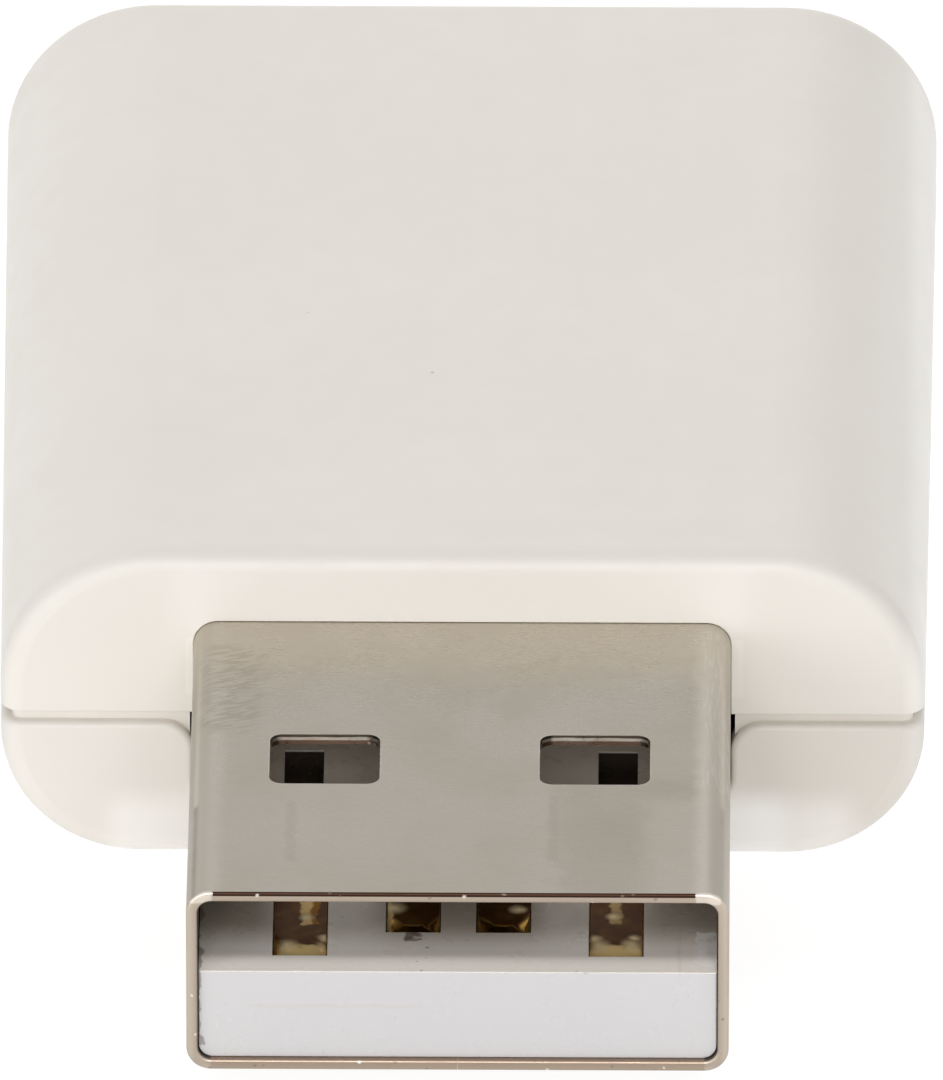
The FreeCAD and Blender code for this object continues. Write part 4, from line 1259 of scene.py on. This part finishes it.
@dataclass
class ResetSwitch:
    """The reset switch and the sprung button behind the pinhole."""

    dome_sheet: float = 0.08
    dome_start: float = 0.03
    dome_steps: int = 14
    dome_rounding: float = 0.008
    dome_left: float = 0.355

    def build(self) -> None:
        """Dresses the switch's base, cover and terminals and the button, and makes the spring."""
        dress("switch_base", SWITCH_BLACK)
        dress("switch_cover", SWITCH_STEEL)
        dress("switch_terminals", TIN)
        dress("reset_plunger", BUTTON)
        self.spring()

    def spring(self) -> None:
        """Makes the snap dome as a fixed bowed strip; the real one flattens as the button goes in."""
        low, high = (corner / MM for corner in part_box("switch_dome"))
        middle = (low + high) / 2
        half, rise = (high.y - low.y) / 2, high.x - low.x
        radius = (half ** 2 + rise ** 2) / (2 * rise)
        piece = new_block("snap_dome", (high.x - self.dome_sheet, middle.y - self.dome_start, low.z),
                          (high.x, middle.y + self.dome_start, high.z))
        edit(piece)
        for side in (1, -1):
            pick(piece, lambda _, normal: normal.y * side > FACING)
            bpy.ops.mesh.spin(steps=self.dome_steps, angle=math.asin(half / radius), axis=(0, 0, -side),
                              center=((high.x - radius) * MM, middle.y * MM, middle.z * MM))
        cut((low.x, 0, 0), (-1, 0, 0))
        close()
        soften(piece, self.dome_rounding)
        piece.data.materials.append(SWITCH_STEEL.material())
        settle(piece, "switch_steel", "switch_dome")
        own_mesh(piece)


# Surroundings. Lengths are in metres.

WHITE = (1, 1, 1)


@dataclass(frozen=True)
class SoftBox:
    """A large soft lamp. It stands at a place seen from the object's foot and faces that."""

    name: str
    place: Place
    strength: float
    mirrored: bool = True
    size: float = 0.6

    def build(self) -> None:
        """Makes the lamp. Metal shows it only where it is mirrored."""
        lamp = bpy.data.lights.new(self.name, "AREA")
        lamp.shape = "SQUARE"
        lamp.size = self.size
        lamp.energy = self.strength
        holder = bpy.data.objects.new(self.name, lamp)
        bpy.context.scene.collection.objects.link(holder)
        holder.location = self.place
        holder.visible_glossy = self.mirrored
        holder.rotation_euler = (-Vector(self.place)).to_track_quat("-Z", "Y").to_euler()


@dataclass(frozen=True)
class GreyCard:
    """A card outside the view that takes some gloss off the side that faces it."""

    name: str
    place: Place
    size: float
    colour: Rgb

    def build(self) -> None:
        """Makes the card, facing the object and hidden from the camera."""
        bpy.ops.object.select_all(action="DESELECT")
        facing = Vector(self.place).to_track_quat("Z", "Y").to_euler()
        bpy.ops.mesh.primitive_plane_add(size=self.size, location=self.place, rotation=facing)
        card = bpy.context.object
        card.name = self.name
        card.visible_camera = False
        card.visible_shadow = False
        material = bpy.data.materials.new(self.name)
        w = fresh_wiring(material, "ShaderNodeOutputMaterial")
        w.give("Surface", w.add("ShaderNodeBsdfDiffuse", {"Color": self.colour}).outputs[0])
        card.data.materials.append(material)


def seen_directly(w: Wiring) -> Wire:
    """Tells whether a ray comes straight from the camera or by way of a mirror or glass.

    Args:
        w: The wiring of the material or world.

    Returns:
        One where it does, and else nought.
    """
    path = w.add("ShaderNodeLightPath").outputs
    mirror = w.math("MAXIMUM", path["Is Glossy Ray"], path["Is Transmission Ray"])
    return w.math("MAXIMUM", path["Is Camera Ray"], mirror)


def glowing_paper(w: Wiring, colour: Rgb, glow: float) -> Wire:
    """Adds matt paper that gives off a little light.

    Args:
        w: The wiring of the material.
        colour: The paper's own colour.
        glow: How strongly it glows.

    Returns:
        The output of its shader.
    """
    paper = w.add("ShaderNodeBsdfDiffuse", {"Color": colour})
    light = w.add("ShaderNodeEmission", {"Color": WHITE, "Strength": glow})
    return w.add("ShaderNodeAddShader", {0: paper.outputs[0], 1: light.outputs[0]}).outputs[0]


@dataclass
class Studio:
    """The floor, the white surroundings, the camera, the lamps and a card."""

    sky: float = 0.315
    floor_size: float = 6.0
    floor_bounce: float = 0.235
    floor_colour: Rgb = (0.88, 0.88, 0.88)
    seen_glow: float = 0.85
    seen_colour: Rgb = (0.3, 0.3, 0.3)
    azimuth: float = 0.4885
    elevation: float = 28.829
    distance: float = 0.9372
    lens: float = 1400.0
    sensor_width: float = 36.0
    nearest: float = 0.01
    farthest: float = 20.0
    target: Place = (0.000204, -0.007025, 0.008146)
    helpers: tuple[SoftBox | GreyCard, ...] = (
        SoftBox("front box", (0.0, -0.87, 0.38), 4.08),
        SoftBox("low box", (-0.7, -0.7, 0.1), 3.12),
        SoftBox("right box", (0.95, 0.0, 0.1), 0.8),
        SoftBox("back box", (0.0, 0.7, 0.6), 5.4, mirrored=False),
        GreyCard("right card", (0.286, 0.613, 0.181), 0.32, (0.4, 0.4, 0.4)),
    )

    def build(self) -> None:
        """Makes the surroundings, the camera, the lamps and the card."""
        self.world()
        self.floor()
        self.camera()
        bpy.context.scene.view_settings.view_transform = "Standard"
        for helper in self.helpers:
            helper.build()

    def world(self) -> None:
        """Makes the world: white where it is seen, and an even soft light elsewhere."""
        world = bpy.data.worlds.new("studio")
        bpy.context.scene.world = world
        w = fresh_wiring(world, "ShaderNodeOutputWorld")
        light = w.add("ShaderNodeBackground", {"Color": WHITE, "Strength": self.sky})
        seen = w.add("ShaderNodeBackground", {"Color": WHITE, "Strength": 1.0})
        inputs = {0: seen_directly(w), 1: light.outputs[0], 2: seen.outputs[0]}
        w.give("Surface", w.add("ShaderNodeMixShader", inputs).outputs[0])

    def floor(self) -> None:
        """Makes the pale floor, which can be looked through from below."""
        bpy.ops.object.select_all(action="DESELECT")
        bpy.ops.mesh.primitive_plane_add(size=self.floor_size, location=(0, 0, 0))
        floor = bpy.context.object
        floor.name = "floor"
        material = bpy.data.materials.new("pale floor")
        w = fresh_wiring(material, "ShaderNodeOutputMaterial")
        unseen = glowing_paper(w, self.floor_colour, self.floor_bounce)
        seen = glowing_paper(w, self.seen_colour, self.seen_glow)
        top = w.add("ShaderNodeMixShader", {0: seen_directly(w), 1: unseen, 2: seen})
        clear = w.add("ShaderNodeBsdfTransparent")
        below = w.add("ShaderNodeNewGeometry").outputs["Backfacing"]
        both = w.add("ShaderNodeMixShader", {0: below, 1: top.outputs[0], 2: clear.outputs[0]})
        w.give("Surface", both.outputs[0])
        floor.data.materials.append(material)

    def camera(self) -> None:
        """Makes the camera at the photograph's angle."""
        turn = math.radians(self.azimuth)
        rise = math.radians(self.elevation)
        back = Vector((math.sin(turn) * math.cos(rise), -math.cos(turn) * math.cos(rise), math.sin(rise)))
        data = bpy.data.cameras.new("camera")
        data.lens = self.lens
        data.sensor_width = self.sensor_width
        data.clip_start = self.nearest
        data.clip_end = self.farthest
        holder = bpy.data.objects.new("camera", data)
        bpy.context.scene.collection.objects.link(holder)
        holder.location = Vector(self.target) + back * self.distance
        holder.rotation_mode = "QUATERNION"
        holder.rotation_quaternion = (-back).to_track_quat("-Z", "Y")
        bpy.context.scene.camera = holder


def main() -> None:
    """Builds every sub-assembly and the studio in order."""
    logging.basicConfig(level=logging.INFO, format="%(message)s")
    for assembly in (Housing(), Plug(), Board(), Radio(), Supply(), ResetSwitch(), Studio()):
        assembly.build()


if __name__ == "__main__":
    main()
